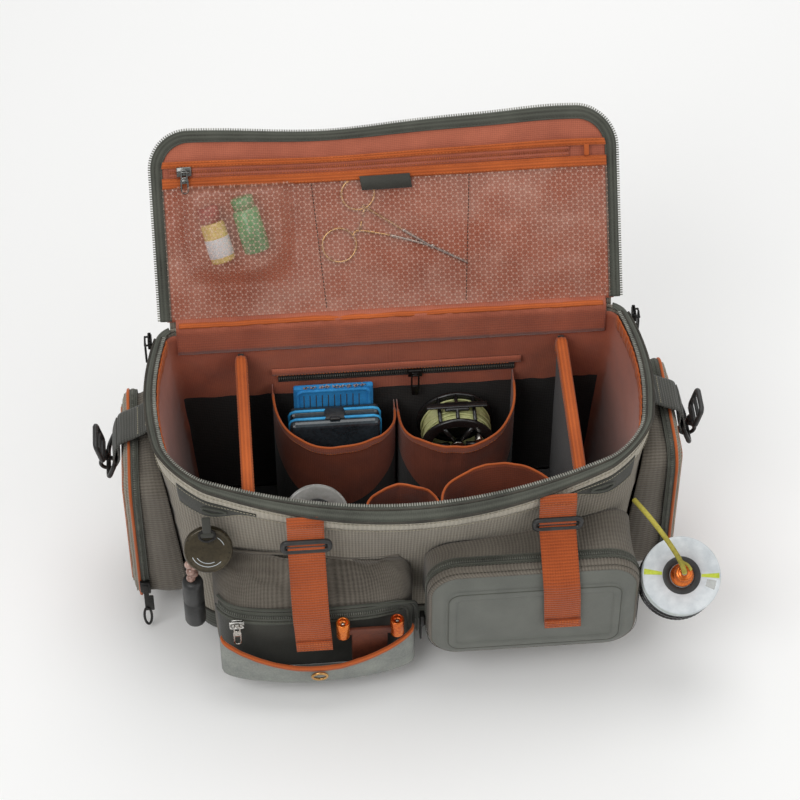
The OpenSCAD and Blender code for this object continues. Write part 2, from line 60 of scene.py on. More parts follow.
def placeCamera():
    turn, height = math.radians(view["turn"]), math.radians(view["height"])
    back = Vector((math.sin(turn) * math.cos(height), -math.cos(turn) * math.cos(height), math.sin(height)))
    data = bpy.data.cameras.new("camera")
    data.lens = view["lens"]
    data.sensor_width = 36
    data.clip_end = 50
    camera = bpy.data.objects.new("camera", data)
    camera.location = Vector(view["target"]) + back * view["distance"]
    camera.rotation_euler = back.to_track_quat("Z", "Y").to_euler()
    bpy.context.scene.collection.objects.link(camera)
    bpy.context.scene.camera = camera


def areaLight(name, place, aim, size, power):
    data = bpy.data.lights.new(name, "AREA")
    data.size = size
    data.energy = power
    lamp = bpy.data.objects.new(name, data)
    lamp.location = place
    lamp.rotation_euler = (Vector(place) - Vector(aim)).to_track_quat("Z", "Y").to_euler()
    bpy.context.scene.collection.objects.link(lamp)


placeCamera()
middle = (0, 0, 0.18)
areaLight("key", (-1.1, -1.3, 2.1), middle, 1.4, 21)
areaLight("fill", (1.5, -1.0, 1.3), middle, 1.8, 8)
areaLight("top", (0.1, 0.5, 2.4), middle, 1.6, 17)
areaLight("rear", (0.4, 1.9, 1.2), middle, 1.6, 8)
print("camera and light placed")


def linear(code):
    parts = [int(code[i:i + 2], 16) / 255 for i in (1, 3, 5)]
    return [c / 12.92 if c <= 0.04045 else ((c + 0.055) / 1.055) ** 2.4 for c in parts] + [1]


# adds one node: values are numbers, colours or other nodes' sockets, by socket name or number
def addNode(tree, kind, values=(), **settings):
    node = tree.nodes.new("ShaderNode" + kind)
    for key, value in settings.items():
        setattr(node, key, value)
    for key, value in dict(values).items():
        if isinstance(value, bpy.types.NodeSocket):
            tree.links.new(value, node.inputs[key])
        else:
            node.inputs[key].default_value = value
    return node


def maths(tree, operation, *values):
    return addNode(tree, "Math", dict(enumerate(values)), operation=operation).outputs[0]


def newMaterial(name):
    material = bpy.data.materials.new(name)
    material.use_nodes = True
    tree = material.node_tree
    return material, tree, tree.nodes["Principled BSDF"]


# a ridge pattern, from 0 to 1, along one direction of the piece's own cloth map or of its object space
def ridges(tree, coordinate, axis, pitch, sharp=1.0):
    along = addNode(tree, "SeparateXYZ", {0: coordinate}).outputs[axis]
    wave = maths(tree, "SINE", maths(tree, "MULTIPLY", along, 2 * math.pi / pitch))
    half = maths(tree, "MULTIPLY_ADD", wave, 0.5, 0.5)
    return half if sharp == 1 else maths(tree, "POWER", half, sharp)


def blotches(tree, coordinate, scale, detail=3.0, stretch=(1, 1, 1)):
    placed = addNode(tree, "Mapping", {"Vector": coordinate, "Scale": stretch}).outputs[0]
    return addNode(tree, "TexNoise", {"Vector": placed, "Scale": scale, "Detail": detail,
                                      "Roughness": 0.6}).outputs[0]


def tint(tree, amount, *stops):
    ramp = addNode(tree, "ValToRGB", {0: amount})
    ramp.color_ramp.elements[0].position, ramp.color_ramp.elements[1].position = stops[0][0], stops[-1][0]
    for position, _ in stops[1:-1]:
        ramp.color_ramp.elements.new(position)
    for element, (_, code) in zip(ramp.color_ramp.elements, stops):
        element.color = linear(code)
    return ramp.outputs[0]


def mixColour(tree, share, first, second, way="MIX"):
    node = addNode(tree, "Mix", data_type="RGBA", blend_type=way)
    for socket, value in zip((node.inputs[0], node.inputs[6], node.inputs[7]), (share, first, second)):
        if isinstance(value, bpy.types.NodeSocket):
            tree.links.new(value, socket)
        else:
            socket.default_value = value
    return node.outputs[2]


def bumpy(tree, height, distance, strength=1.0, under=None):
    values = {"Height": height, "Distance": distance, "Strength": strength}
    if under:
        values["Normal"] = under
    return addNode(tree, "Bump", values).outputs[0]


# woven cloth: ribs across and along at real pitches, mottling, and soft handling marks
def wovenCloth(name, dark, light, pitch, rough=0.85, ribs=(1.0, 1.0), depth=0.00025, sheen=0.15,
               mottle=14, streak=(1, 1, 1)):
    material, tree, surface = newMaterial(name)
    cloth = addNode(tree, "UVMap", uv_map="cloth").outputs[0]
    place = addNode(tree, "TexCoord").outputs["Object"]
    across, along = ridges(tree, cloth, 0, pitch[0]), ridges(tree, cloth, 1, pitch[1])
    weave = maths(tree, "ADD", maths(tree, "MULTIPLY", across, ribs[0]),
                  maths(tree, "MULTIPLY", along, ribs[1]))
    patches = blotches(tree, place, mottle, 4, streak)
    fine = blotches(tree, cloth, 900, 2)
    shade = maths(tree, "ADD", maths(tree, "MULTIPLY", weave, 0.22 / max(sum(ribs), 0.5)),
                  maths(tree, "ADD", maths(tree, "MULTIPLY", patches, 0.55), maths(tree, "MULTIPLY", fine, 0.3)))
    colour = tint(tree, shade, (0.3, dark), (0.72, light))
    tree.links.new(colour, surface.inputs["Base Color"])
    tree.links.new(bumpy(tree, maths(tree, "ADD", weave, maths(tree, "MULTIPLY", fine, 0.6)), depth, 0.7),
                   surface.inputs["Normal"])
    surface.inputs["Roughness"].default_value = rough
    surface.inputs["Sheen Weight"].default_value = sheen
    surface.inputs["Sheen Roughness"].default_value = 0.5
    surface.inputs["Specular IOR Level"].default_value = 0.3
    return material


# moulded or cast hard stuff: a little mottling, fine grain and handling wear
def solidStuff(name, dark, light, rough, metal=0.0, grain=350, depth=0.00008, coat=0.0, ior=1.5, through=0.0):
    material, tree, surface = newMaterial(name)
    place = addNode(tree, "TexCoord").outputs["Object"]
    patches, fine = blotches(tree, place, 28, 3), blotches(tree, place, grain, 3)
    shade = maths(tree, "ADD", maths(tree, "MULTIPLY", patches, 0.6), maths(tree, "MULTIPLY", fine, 0.4))
    tree.links.new(tint(tree, shade, (0.35, dark), (0.65, light)), surface.inputs["Base Color"])
    tree.links.new(maths(tree, "MULTIPLY_ADD", fine, 0.16, rough - 0.08), surface.inputs["Roughness"])
    tree.links.new(bumpy(tree, fine, depth, 0.5), surface.inputs["Normal"])
    surface.inputs["Metallic"].default_value = metal
    surface.inputs["Coat Weight"].default_value = coat
    surface.inputs["Coat Roughness"].default_value = 0.12
    surface.inputs["IOR"].default_value = ior
    surface.inputs["Transmission Weight"].default_value = through
    return material


ripstop = wovenCloth("ribbedRipstop", "#60594f", "#a39b8d", (0.0031, 0.0052), ribs=(1.4, 0.5), depth=0.0004,
                     mottle=11, streak=(1, 1, 0.35))  # nylon ripstop with upright ribs, dull and dry
pocketClothPaintedShade = wovenCloth("pocketRipstopPaintedShade", "#4a443d", "#7f786d", (0.0031, 0.0052), ribs=(1.4, 0.5), depth=0.0004,
                         mottle=13, streak=(1, 1, 0.35))  # the same ripstop on the pockets, a little browner and darker as painted shade, since the pockets' tops turn away from the light
bandCloth = wovenCloth("bandTwill", "#8d877a", "#c4bcac", (0.0042, 0.0034), ribs=(1, 1), depth=0.0004)
liningCloth = wovenCloth("liningTaffeta", "#8c4632", "#bd6a4e", (0.0018, 0.0018), rough=0.6, depth=0.00012,
                         sheen=0.3, mottle=20)  # coated polyester taffeta, slightly shiny on its creases
cupClothPaintedShade = wovenCloth("cupTaffetaPaintedShade", "#70351f", "#9c5138", (0.0018, 0.0018), rough=0.65, depth=0.00012,
                      sheen=0.15, mottle=24)  # the lining cloth of the cups, duller, and darker and browner as painted shade for the bag's shaded inside
darkCloth = wovenCloth("darkPackcloth", "#161514", "#33302d", (0.0024, 0.0024), rough=0.9, depth=0.0002)
tapeCloth = wovenCloth("zipTape", "#34352f", "#5c5e55", (0.0016, 0.0040), ribs=(0.5, 1.2), depth=0.00025)
orangeCloth = wovenCloth("orangeGrosgrain", "#8f3f16", "#c9652a", (0.0016, 0.0030), ribs=(0.3, 1.2), rough=0.7)
orangeWebbing = wovenCloth("orangeWebbing", "#86360f", "#bd5a24", (0.0030, 0.0024), ribs=(1.6, 0.5),
                           depth=0.0006, rough=0.75)  # flat polypropylene webbing, ribbed across
greyWebbing = wovenCloth("greyWebbing", "#2c2c2a", "#565650", (0.0030, 0.0024), ribs=(1.6, 0.5), depth=0.0005)
tabCloth = wovenCloth("tabHypalon", "#272723", "#4a4a43", (0.0012, 0.0012), rough=0.7, depth=0.0001)
mouldedFoam = solidStuff("mouldedFoam", "#5f615b", "#6c6e67", 0.5, grain=900, depth=0.0001)
coatedFace = solidStuff("coatedFace", "#6f7370", "#979a92", 0.5, grain=500, depth=0.00012)
castZinc = solidStuff("blackenedZinc", "#1a1a1a", "#3c3a38", 0.38, metal=0.7)
nickel = solidStuff("polishedNickel", "#8f8f8c", "#d6d4cf", 0.22, metal=1.0)
goldSteel = solidStuff("goldPlatedSteel", "#a8763a", "#e0b478", 0.22, metal=1.0)
darkSteel = solidStuff("gunmetalSteel", "#3b3c3b", "#8f908d", 0.24, metal=1.0)
brightSteel = solidStuff("brushedSteel", "#8d8882", "#cfcac2", 0.26, metal=1.0)
acetal = solidStuff("blackAcetal", "#1c1c1c", "#3a3a39", 0.42)
glossBlack = solidStuff("glossBlackPlastic", "#101010", "#262626", 0.25, coat=0.3)
darkThread = solidStuff("darkThread", "#26241f", "#47433a", 0.8)
paleThread = solidStuff("paleThread", "#85806f", "#b9b29c", 0.8)
orangeThread = solidStuff("orangeThread", "#a04a1c", "#d97a3c", 0.75)
coilGrey = solidStuff("greyNylonCoil", "#62635c", "#a9a99f", 0.45)
coilDark = solidStuff("darkNylonCoil", "#3e3f3a", "#7d7e74", 0.45)
coilOrange = solidStuff("orangeNylonCoil", "#7c3514", "#b9602c", 0.5)
anodised = solidStuff("orangeAnodised", "#b8480f", "#f08a35", 0.26, metal=0.8, coat=0.3)
oliveCase = solidStuff("oliveEnamel", "#332d20", "#544a35", 0.3, metal=0.6, coat=0.4)
blueFoam = solidStuff("blueFoam", "#1673b8", "#3aa3e6", 0.8, grain=700, depth=0.0003)
cyanRubber = solidStuff("cyanGasket", "#1c86c4", "#45b6ee", 0.5)
smokeBox = solidStuff("smokedPolycarbonate", "#1b2226", "#39454c", 0.18, coat=0.5)
yellowGlass = solidStuff("yellowBottle", "#b08a1e", "#e6cf78", 0.25, coat=0.5)
redCap = solidStuff("redCap", "#74170f", "#a8342a", 0.35)
brownHide = solidStuff("brownHide", "#3f1b10", "#6b3520", 0.6, grain=600, depth=0.0002)
greenGlass = solidStuff("greenBottle", "#1f7a44", "#58b06f", 0.25, coat=0.5)
labelPaper = solidStuff("labelPaper", "#b9c0c4", "#dfe4e6", 0.5, grain=120)
lineGreen = solidStuff("paleLine", "#a7ab6c", "#d9dba6", 0.5)
lineYellow = solidStuff("yellowLine", "#a5b51f", "#d9e255", 0.4)
cordOlive = solidStuff("oliveCord", "#8a7f2c", "#c9bd4f", 0.7, grain=500, depth=0.0003)
clearPlastic = solidStuff("clearPolystyrene", "#c9c9c4", "#ecece8", 0.12, coat=0.5, through=0.6)
beadStuff = solidStuff("pinkBeads", "#7d5a4e", "#cfae9f", 0.3, coat=0.4)


# printed film: a clear sheet with a honeycomb of fine pale lines, so it shows as rows of six-sided cells
def printedFilm(name, dark, light, cell, clear, line=0.85):
    material, tree, surface = newMaterial(name)
    cloth = addNode(tree, "UVMap", uv_map="cloth").outputs[0]
    place = addNode(tree, "TexCoord").outputs["Object"]
    split = addNode(tree, "SeparateXYZ", {0: cloth}).outputs
    turn = 2 * math.pi / cell
    waves = []
    for angle in (0, 60, 120):
        step = maths(tree, "ADD", maths(tree, "MULTIPLY", split[0], turn * math.cos(math.radians(angle))),
                     maths(tree, "MULTIPLY", split[1], turn * math.sin(math.radians(angle))))
        waves.append(maths(tree, "COSINE", step))
    cells = maths(tree, "ADD", maths(tree, "ADD", waves[0], waves[1]), waves[2])
    ramp = addNode(tree, "MapRange", {"Value": cells, "From Min": -1.5, "From Max": -0.75, "To Min": 1.0,
                                      "To Max": 0.0}).outputs[0]
    patches = blotches(tree, place, 18, 4)
    colour = mixColour(tree, ramp, tint(tree, patches, (0.35, dark), (0.7, light)), linear(light))
    tree.links.new(colour, surface.inputs["Base Color"])
    cover = maths(tree, "MULTIPLY_ADD", ramp, line - clear, clear)
    tree.links.new(maths(tree, "ADD", cover, maths(tree, "MULTIPLY", patches, 0.24)), surface.inputs["Alpha"])
    tree.links.new(bumpy(tree, ramp, 0.0002, 0.6), surface.inputs["Normal"])
    surface.inputs["Roughness"].default_value = 0.3
    surface.inputs["Coat Weight"].default_value = 0.5
    surface.inputs["Coat Roughness"].default_value = 0.15
    return material


windowFilm = printedFilm("honeycombFilm", "#8a5643", "#d9b4a2", 0.0050, 0.13, 0.5)
sideFilm = printedFilm("sideFilm", "#8f4a36", "#c58c76", 0.0062, 0.45, 0.75)
print("materials made")


def mix(a, b, t):
    return a + (b - a) * t


def smooth(t):
    t = min(1, max(0, t))
    return t * t * (3 - 2 * t)


# a sheet of cloth: a flat grid with its own map in metres, whose every point is then put in place, in mm
def clothGrid(cols, rows, size, place, wrap=False):
    bm = bmesh.new()
    bmesh.ops.create_grid(bm, x_segments=cols, y_segments=rows, size=0.5)
    cloth = bm.loops.layers.uv.new("cloth")
    for face in bm.faces:
        for loop in face.loops:
            loop[cloth].uv = ((loop.vert.co.x + 0.5) * size[0] * mm, (loop.vert.co.y + 0.5) * size[1] * mm)
    for v in bm.verts:
        v.co = Vector(place(v.co.x + 0.5, v.co.y + 0.5)) * mm
    if wrap:
        bmesh.ops.remove_doubles(bm, verts=bm.verts, dist=2e-6)
    return bm


def newShape():
    bm = bmesh.new()
    bm.loops.layers.uv.new("cloth")
    return bm


def smoothPath(points, steps=8, closed=False):
    points = [Vector(p) for p in points]
    count = len(points)
    curve = []
    for i in range(count if closed else count - 1):
        near = [(i + k - 1) % count if closed else min(max(i + k - 1, 0), count - 1) for k in range(4)]
        a, b, c, d = (points[k] for k in near)
        for s in range(steps):
            t = s / steps
            curve.append(0.5 * (2 * b + (c - a) * t + (2 * a - 5 * b + 4 * c - d) * t ** 2
                                + (3 * b - a - 3 * c + d) * t ** 3))
    return curve if closed else curve + [points[-1]]


# a path that is walked by distance: gives the point and the direction at a share of its length
class Walk:
    def __init__(self, points):
        self.points = [Vector(p) for p in points]
        self.marks = [0]
        for a, b in zip(self.points, self.points[1:]):
            self.marks.append(self.marks[-1] + (b - a).length)
        self.length = self.marks[-1]

    def at(self, share):
        goal = min(max(share, 0), 1) * self.length
        k = 0
        while k < len(self.marks) - 2 and self.marks[k + 1] < goal:
            k += 1
        span = self.marks[k + 1] - self.marks[k]
        step = self.points[k + 1] - self.points[k]
        return self.points[k] + step * ((goal - self.marks[k]) / span if span else 0), step.normalized()


# a flat strip along a path, in mm: across(share, direction) gives the way its width runs
def ribbonAlong(walk, width, across, cols=None, rows=2, ends=None):
    cols = cols or max(4, int(walk.length / 4))

    def place(u, v):
        point, way = walk.at(u)
        side = Vector(across(u, way)).normalized()
        return point + side * (v - 0.5) * (ends(u) if ends else width)
    return clothGrid(cols, rows, (walk.length, width), place)


def tubeAlong(bm, points, radius, sides=8, closed=False):
    points = [Vector(p) * mm for p in points]
    count = len(points)
    rings = []
    side = None
    for i, p in enumerate(points):
        ahead = points[(i + 1) % count] if closed or i + 1 < count else p
        behind = points[i - 1] if closed or i else p
        way = (ahead - behind).normalized()
        if side is None:
            side = way.orthogonal().normalized()
        side = (side - way * side.dot(way)).normalized()
        other = way.cross(side)
        r = (radius(i / max(1, count - 1)) if callable(radius) else radius) * mm
        rings.append([bm.verts.new(p + (side * math.cos(a) + other * math.sin(a)) * r)
                      for a in (2 * math.pi * k / sides for k in range(sides))])
    for a, b in zip(rings, rings[1:] + (rings[:1] if closed else [])):
        for k in range(sides):
            bm.faces.new((a[k], a[(k + 1) % sides], b[(k + 1) % sides], b[k]))
    if not closed:
        bm.faces.new(rings[0][::-1])
        bm.faces.new(rings[-1])
    return bm


def beadRow(bm, walk, pitch, size, across, sides=6, lift=0.0):
    count = max(1, int(walk.length / pitch))
    for i in range(count):
        point, way = walk.at((i + 0.5) / count)
        side = Vector(across((i + 0.5) / count, way)).normalized()
        up = way.cross(side).normalized()
        turn = Matrix((way, up, side)).transposed().to_4x4()
        bmesh.ops.create_cone(bm, cap_ends=True, segments=sides, radius1=size[0] / 2 * mm,
                              radius2=size[0] / 2 * mm, depth=size[1] * mm,
                              matrix=Matrix.Translation((point + up * lift) * mm) @ turn)


# a row of stitches: short raised threads that lie along a path
def stitchRow(bm, walk, pitch=3.2, thread=0.45):
    count = max(1, int(walk.length / pitch))
    for i in range(count):
        point, way = walk.at((i + 0.5) / count)
        turn = way.to_track_quat("Z", "Y").to_matrix().to_4x4()
        bmesh.ops.create_cone(bm, cap_ends=True, segments=5, radius1=thread * mm, radius2=thread * mm,
                              depth=pitch * 0.68 * mm, matrix=Matrix.Translation(point * mm) @ turn)


def boxAt(bm, low, high, round=0.0, segments=2, turn=None):
    low, high = Vector(low), Vector(high)
    spot = Matrix.Translation((low + high) / 2 * mm) @ Matrix.Diagonal(((high - low) * mm).to_4d())
    spot[3][3] = 1
    made = bmesh.ops.create_cube(bm, size=1, matrix=spot)["verts"]
    if round:
        edges = list({e for v in made for e in v.link_edges})
        made = list({v for f in bmesh.ops.bevel(bm, geom=edges, offset=round * mm, segments=segments,
                                                affect="EDGES", profile=0.5, material=-1)["faces"]
                     for v in f.verts} | {v for v in made if v.is_valid})
    if turn:
        bmesh.ops.transform(bm, matrix=turn, verts=made)
    return made


# a turned shape: a profile of (radius, height) spun round Z
def lathe(profile, steps=48, place=Matrix()):
    bm = newShape()
    verts = [bm.verts.new((r * mm, 0, z * mm)) for r, z in profile]
    edges = [bm.edges.new(pair) for pair in zip(verts, verts[1:])]
    bmesh.ops.spin(bm, geom=verts + edges, cent=(0, 0, 0), axis=(0, 0, 1), angle=2 * math.pi, steps=steps,
                   use_merge=True)
    bmesh.ops.remove_doubles(bm, verts=bm.verts, dist=1e-6)
    bmesh.ops.recalc_face_normals(bm, faces=bm.faces)
    bmesh.ops.transform(bm, matrix=place, verts=bm.verts)
    return bm


# joins shapes into one, each keeping its own material by its place in the list
def joined(*shapes):
    total = newShape()
    for index, bm in enumerate(shapes):
        for face in bm.faces:
            face.material_index = index
        mesh = bpy.data.meshes.new("part")
        bm.to_mesh(mesh)
        bm.free()
        total.from_mesh(mesh)
        bpy.data.meshes.remove(mesh)
    return total


def piece(name, bm, materials, body, stands=(), thick=0.0, inset=-1, divide=0, flat=False, round=0.0,
          ridesLater=False):
    mesh = bpy.data.meshes.new(name)
    bm.to_mesh(mesh)
    bm.free()
    for material in materials if isinstance(materials, (list, tuple)) else [materials]:
        mesh.materials.append(material)
    mesh.polygons.foreach_set("use_smooth", [not flat] * len(mesh.polygons))
    obj = bpy.data.objects.new(name, mesh)
    bpy.context.scene.collection.objects.link(obj)
    if round:
        edge = obj.modifiers.new("edges", "BEVEL")
        edge.width, edge.segments, edge.limit_method, edge.angle_limit = round * mm, 2, "ANGLE", 0.7
        edge.harden_normals = False
    if divide:
        finer = obj.modifiers.new("finer", "SUBSURF")
        finer.levels = finer.render_levels = divide
    if thick:
        wall = obj.modifiers.new("thickness", "SOLIDIFY")
        wall.thickness, wall.offset = thick * mm, inset
    if not ridesLater:
        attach(obj, body)
    if stands:
        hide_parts(*stands)
    return obj


def wrinkle(p, size, seed=0.0):
    return noise.noise(Vector(p) / size + Vector((seed, seed * 0.7, seed * 1.3)))


shell = {"baseW": 410, "mouthW": 440, "baseD": 180, "mouthD": 184, "height": 240, "slump": 61, "bow": 16,
         "sag": 8, "midY": -2, "frontR": 36, "backR": 14}
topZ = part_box("body_shell")[1].z / mm
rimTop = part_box("rim_zip")[1].z / mm


def bend(share):
    return max(0.0, math.cos(math.pi / 2 * min(1, abs(share)))) ** 0.85


def halfW(t):
    return mix(shell["baseW"], shell["mouthW"], t) / 2


def halfD(t):
    return mix(shell["baseD"], shell["mouthD"], t) / 2


def slump(x, t):
    return shell["slump"] * max(t, 0) ** 1.2 * bend(x / halfW(t))


# the plan's outline, anticlockwise from the middle of the back
outlineRuns = [206, 22, 134, 57, 368, 57, 134, 22, 206]
outlineLength = sum(outlineRuns)


def planPoint(u, a, d, back, front):
    runs = [((0, d), (back - a, d)), ((back - a, d - back), back, 90), ((-a, d - back), (-a, front - d)),
            ((front - a, front - d), front, 180), ((front - a, -d), (a - front, -d)),
            ((a - front, front - d), front, 270), ((a, front - d), (a, d - back)),
            ((a - back, d - back), back, 0), ((a - back, d), (0, d))]
    left = (u % 1.0 if u != 1 else 1) * outlineLength
    for length, run in zip(outlineRuns, runs):
        if left <= length or run is runs[-1]:
            share = min(1, left / length)
            if len(run) == 2:
                return mix(run[0][0], run[1][0], share), mix(run[0][1], run[1][1], share)
            angle = math.radians(run[2] + 90 * share)
            return run[0][0] + run[1] * math.cos(angle), run[0][1] + run[1] * math.sin(angle)
        left -= length


def wallPoint(u, t, out=0.0, rise=0.0):
    x, y = planPoint(u, halfW(t) + out, halfD(t) + out, shell["backR"] + out, shell["frontR"] + out)
    front = max(0, -y / halfD(t)) ** 1.5
    bowed = shell["bow"] * t * bend(y / halfD(t))
    return Vector((x + math.copysign(bowed, x), y + shell["midY"] - slump(x, t) * front,
                   2.7 + (topZ - 2.7) * t + rise - shell["sag"] * t ** 3 * front * bend(x / halfW(t))))


def wallY(x, z):
    t = z / shell["height"]
    return shell["midY"] - halfD(t) - slump(x, t)


def wallX(y, z):
    t = z / shell["height"]
    return halfW(t) + shell["bow"] * t * bend((y - shell["midY"]) / halfD(t))


mouthStart = (206 + 22) / outlineLength  # the mouth's zip runs from one hinge corner round the front
mouthEnd = 1 - mouthStart


def makeShell():
    settings = {"folds": 1.3, "skirt": 26, "cols": 300, "rows": 44}

    def cloth(u, v):
        t = mix(0, 0.985, v)
        p = wallPoint(u, t)
        slack = math.sin(math.pi * v) ** 0.7
        folds = wrinkle(p, 70, 3) * 1.4 + wrinkle((p.x, p.y, p.z * 2.2), 34, 5) * 0.9
        folds += 2.2 * slack * max(0, wrinkle((p.x * 0.5, p.y * 0.5, p.z * 2.6), 40, 9))
        return wallPoint(u, t, settings["folds"] * folds * slack * 0.8)
    piece("body_cloth", clothGrid(settings["cols"], settings["rows"], (outlineLength, 238), cloth, wrap=True),
          ripstop, "bag", ("body_shell",), thick=2.2)

    def skirt(u, v):
        return wallPoint(u, mix(-0.005, settings["skirt"] / 240, v), 1.5 - 0.7 * v)
    piece("base_skirt", clothGrid(200, 5, (outlineLength, settings["skirt"]), skirt, wrap=True), tapeCloth,
          "bag", thick=1.2)
    piping = newShape()
    edge = [wallPoint(i / 160, settings["skirt"] / 240, 1.2) for i in range(160)]
    tubeAlong(piping, edge, 1.1, 6, closed=True)
    piece("skirt_piping", piping, darkThread, "bag")

    # the pale band that the zip is sewn to, with a turned lower edge and two rows of stitches
    def band(u, v):
        p = wallPoint(u, 1)
        return wallPoint(u, mix(0.902, 1.003, v), 1.0 + 0.9 * math.sin(math.pi * v) ** 0.5
                         + 0.35 * wrinkle(p, 16, 2))
    piece("rim_band", clothGrid(300, 6, (outlineLength, 24), band, wrap=True), bandCloth, "bag",
          thick=0.9)
    stitches = newShape()
    for level in (0.911, 0.978):
        stitchRow(stitches, Walk([wallPoint(i / 240, level, 2.2) for i in range(241)]), 3.4, 0.35)
    piece("rim_band_stitches", stitches, paleThread, "bag")


def makeRim():
    # tape section as (distance out, height over the rim), from under the band up and over to the coil
    section = smoothPath([(1.6, -0.6, 0), (2.5, 1.2, 0), (1.6, 3.6, 0), (-1.0, 4.7, 0), (-4.6, 5.0, 0),
                          (-7.2, 4.4, 0)], 4)

    def tape(u, v):
        share = mix(mouthStart - 0.012, mouthEnd + 0.012, u)
        out, rise, _ = section[min(len(section) - 1, round(v * (len(section) - 1)))]
        return wallPoint(share, 1, out, rise)
    rows = len(section) - 1
    piece("rim_tape", clothGrid(260, rows, (outlineLength * (mouthEnd - mouthStart), 18), tape), tapeCloth,
          "bag", ("rim_zip",), thick=1.0)
    run = Walk([wallPoint(mix(mouthStart, mouthEnd, i / 300), 1, -6.2, 5.0) for i in range(301)])
    coil = newShape()
    beadRow(coil, run, 2.3, (1.5, 3.4), lambda u, way: way.cross(Vector((0, 0, 1))))
    piece("rim_coil", coil, coilGrey, "bag")
    cord = newShape()
    tubeAlong(cord, [wallPoint(mix(mouthStart, mouthEnd, i / 200), 1, -3.6, 5.3) for i in range(201)], 0.9, 6)
    tubeAlong(cord, [wallPoint(mix(mouthStart, mouthEnd, i / 200), 1, 2.9, 3.0) for i in range(201)], 1.2, 6)
    piece("rim_piping", cord, darkThread, "bag")


def makeLining():
    inset = -6.4
    change = 0.62  # the cloth is dark below this share of the height, and terracotta above it

    def inner(u, v):
        t = mix(0.03, 0.99, v)
        p = wallPoint(u, t)
        back = smooth((p.y - 60) / 25)
        folds = wrinkle((p.x, p.y, p.z * 2), 46, 11) * 1.6 + wrinkle((p.x * 2, p.y, p.z * 0.6), 28, 13) * 1.2
        return wallPoint(u, t, inset - 0.3 - abs(folds) * (0.2 + 1.3 * back) * math.sin(math.pi * v) ** 0.5)
    bm = clothGrid(260, 36, (outlineLength, 232), inner, wrap=True)
    for face in bm.faces:
        middleOf = face.calc_center_median() / mm
        share = face.loops[0][bm.loops.layers.uv["cloth"]].uv.x / (outlineLength * mm)
        ends = abs(wallPoint(share, 0.5).x) > 203
        above = middleOf.z > change * 240 and middleOf.y > -60 or middleOf.z > 214
        face.material_index = 0 if ends or above else 1
        face.normal_flip()
    piece("lining_cloth", bm, [liningCloth, darkCloth], "bag", ("lining",), thick=0.9)
    floor = newShape()
    ring = [planPoint(i / 72, 196, 82, 10, 28) for i in range(72)]
    floor.faces.new([floor.verts.new((x * mm, (y + shell["midY"]) * mm, 9.6 * mm)) for x, y in ring])
    piece("floor_cloth", floor, darkCloth, "bag", thick=0.8, inset=1)

    # gathered orange binding inside each end of the mouth
    for side, name in ((-1, "left"), (1, "right")):
        def gathered(u, v):
            y = mix(-72, 74, u)
            pleat = math.sin(u * 132) * 0.7 + wrinkle((y, 0, v * 9), 5, side) * 1.2
            return Vector((side * (wallX(y, 236) - 8.4 - 1.2 * math.sin(math.pi * v) - pleat * (0.35 + 0.3 * v)), y, 241.5 - 17 * v))
        bm = clothGrid(190, 6, (146, 17), gathered)
        if side < 0:
            bmesh.ops.reverse_faces(bm, faces=bm.faces)
        piece("rim_gather_" + name, bm, orangeCloth, "bag", ("rim_binding",), thick=0.8)


def makeHinge():
    # lining cloth that turns over the hinge from the bag to the lid, with its folded binding
    def over(u, v):
        x = mix(-207, 207, u)
        section = [(80.5, 214), (81.5, 231), (81.8, 243), (84.5, 248.5), (90, 250), (95.8, 253.5), (100.3, 260)]
        s = v * (len(section) - 1)
        k = min(int(s), len(section) - 2)
        y, z = mix(section[k][0], section[k + 1][0], s - k), mix(section[k][1], section[k + 1][1], s - k)
        crease = 1.2 * wrinkle((x * 0.6, v * 22, 0), 9, 4) + 0.8 * wrinkle((x, v * 40, 0), 6, 8)
        return Vector((x, y - 0.6 * crease - 0.4, z + 0.3 * crease))
    hinge = piece("hinge_cloth", clothGrid(220, 18, (414, 52), over), liningCloth, "bag",
                  thick=0.8, ridesLater=True)
    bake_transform(hinge)

    def binding(u, v):
        x = mix(-204, 204, u)
        angle = mix(-2.4, 1.5, v)
        r = 3.4 + 0.5 * wrinkle((x, v * 8, 0), 8, 6)
        return Vector((x, 86.5 + r * math.sin(angle), 247.5 + 2.4 * math.cos(angle) + 0.8 * wrinkle((x, 0, 0), 25, 1)))
    roll = piece("hinge_roll", clothGrid(200, 8, (408, 12), binding), orangeCloth, "bag",
                 ("hinge_binding",), thick=0.8, ridesLater=True)
    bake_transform(roll)

    def outside(u, v):
        x = mix(-213, 213, u)
        section = [(91.2, 228), (92.6, 240), (95.5, 246.5), (100.5, 250), (105.5, 255)]
        s = v * (len(section) - 1)
        k = min(int(s), len(section) - 2)
        y, z = mix(section[k][0], section[k + 1][0], s - k), mix(section[k][1], section[k + 1][1], s - k)
        return Vector((x, y + 0.5 * wrinkle((x, v * 20, 0), 14, 2), z))
    bm = clothGrid(160, 10, (426, 34), outside)
    bmesh.ops.reverse_faces(bm, faces=bm.faces)
    cover = piece("hinge_cover", bm, ripstop, "bag", thick=1.0, ridesLater=True)
    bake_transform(cover)


makeShell()
makeRim()
makeLining()
makeHinge()
print("wall, rim and lining made")


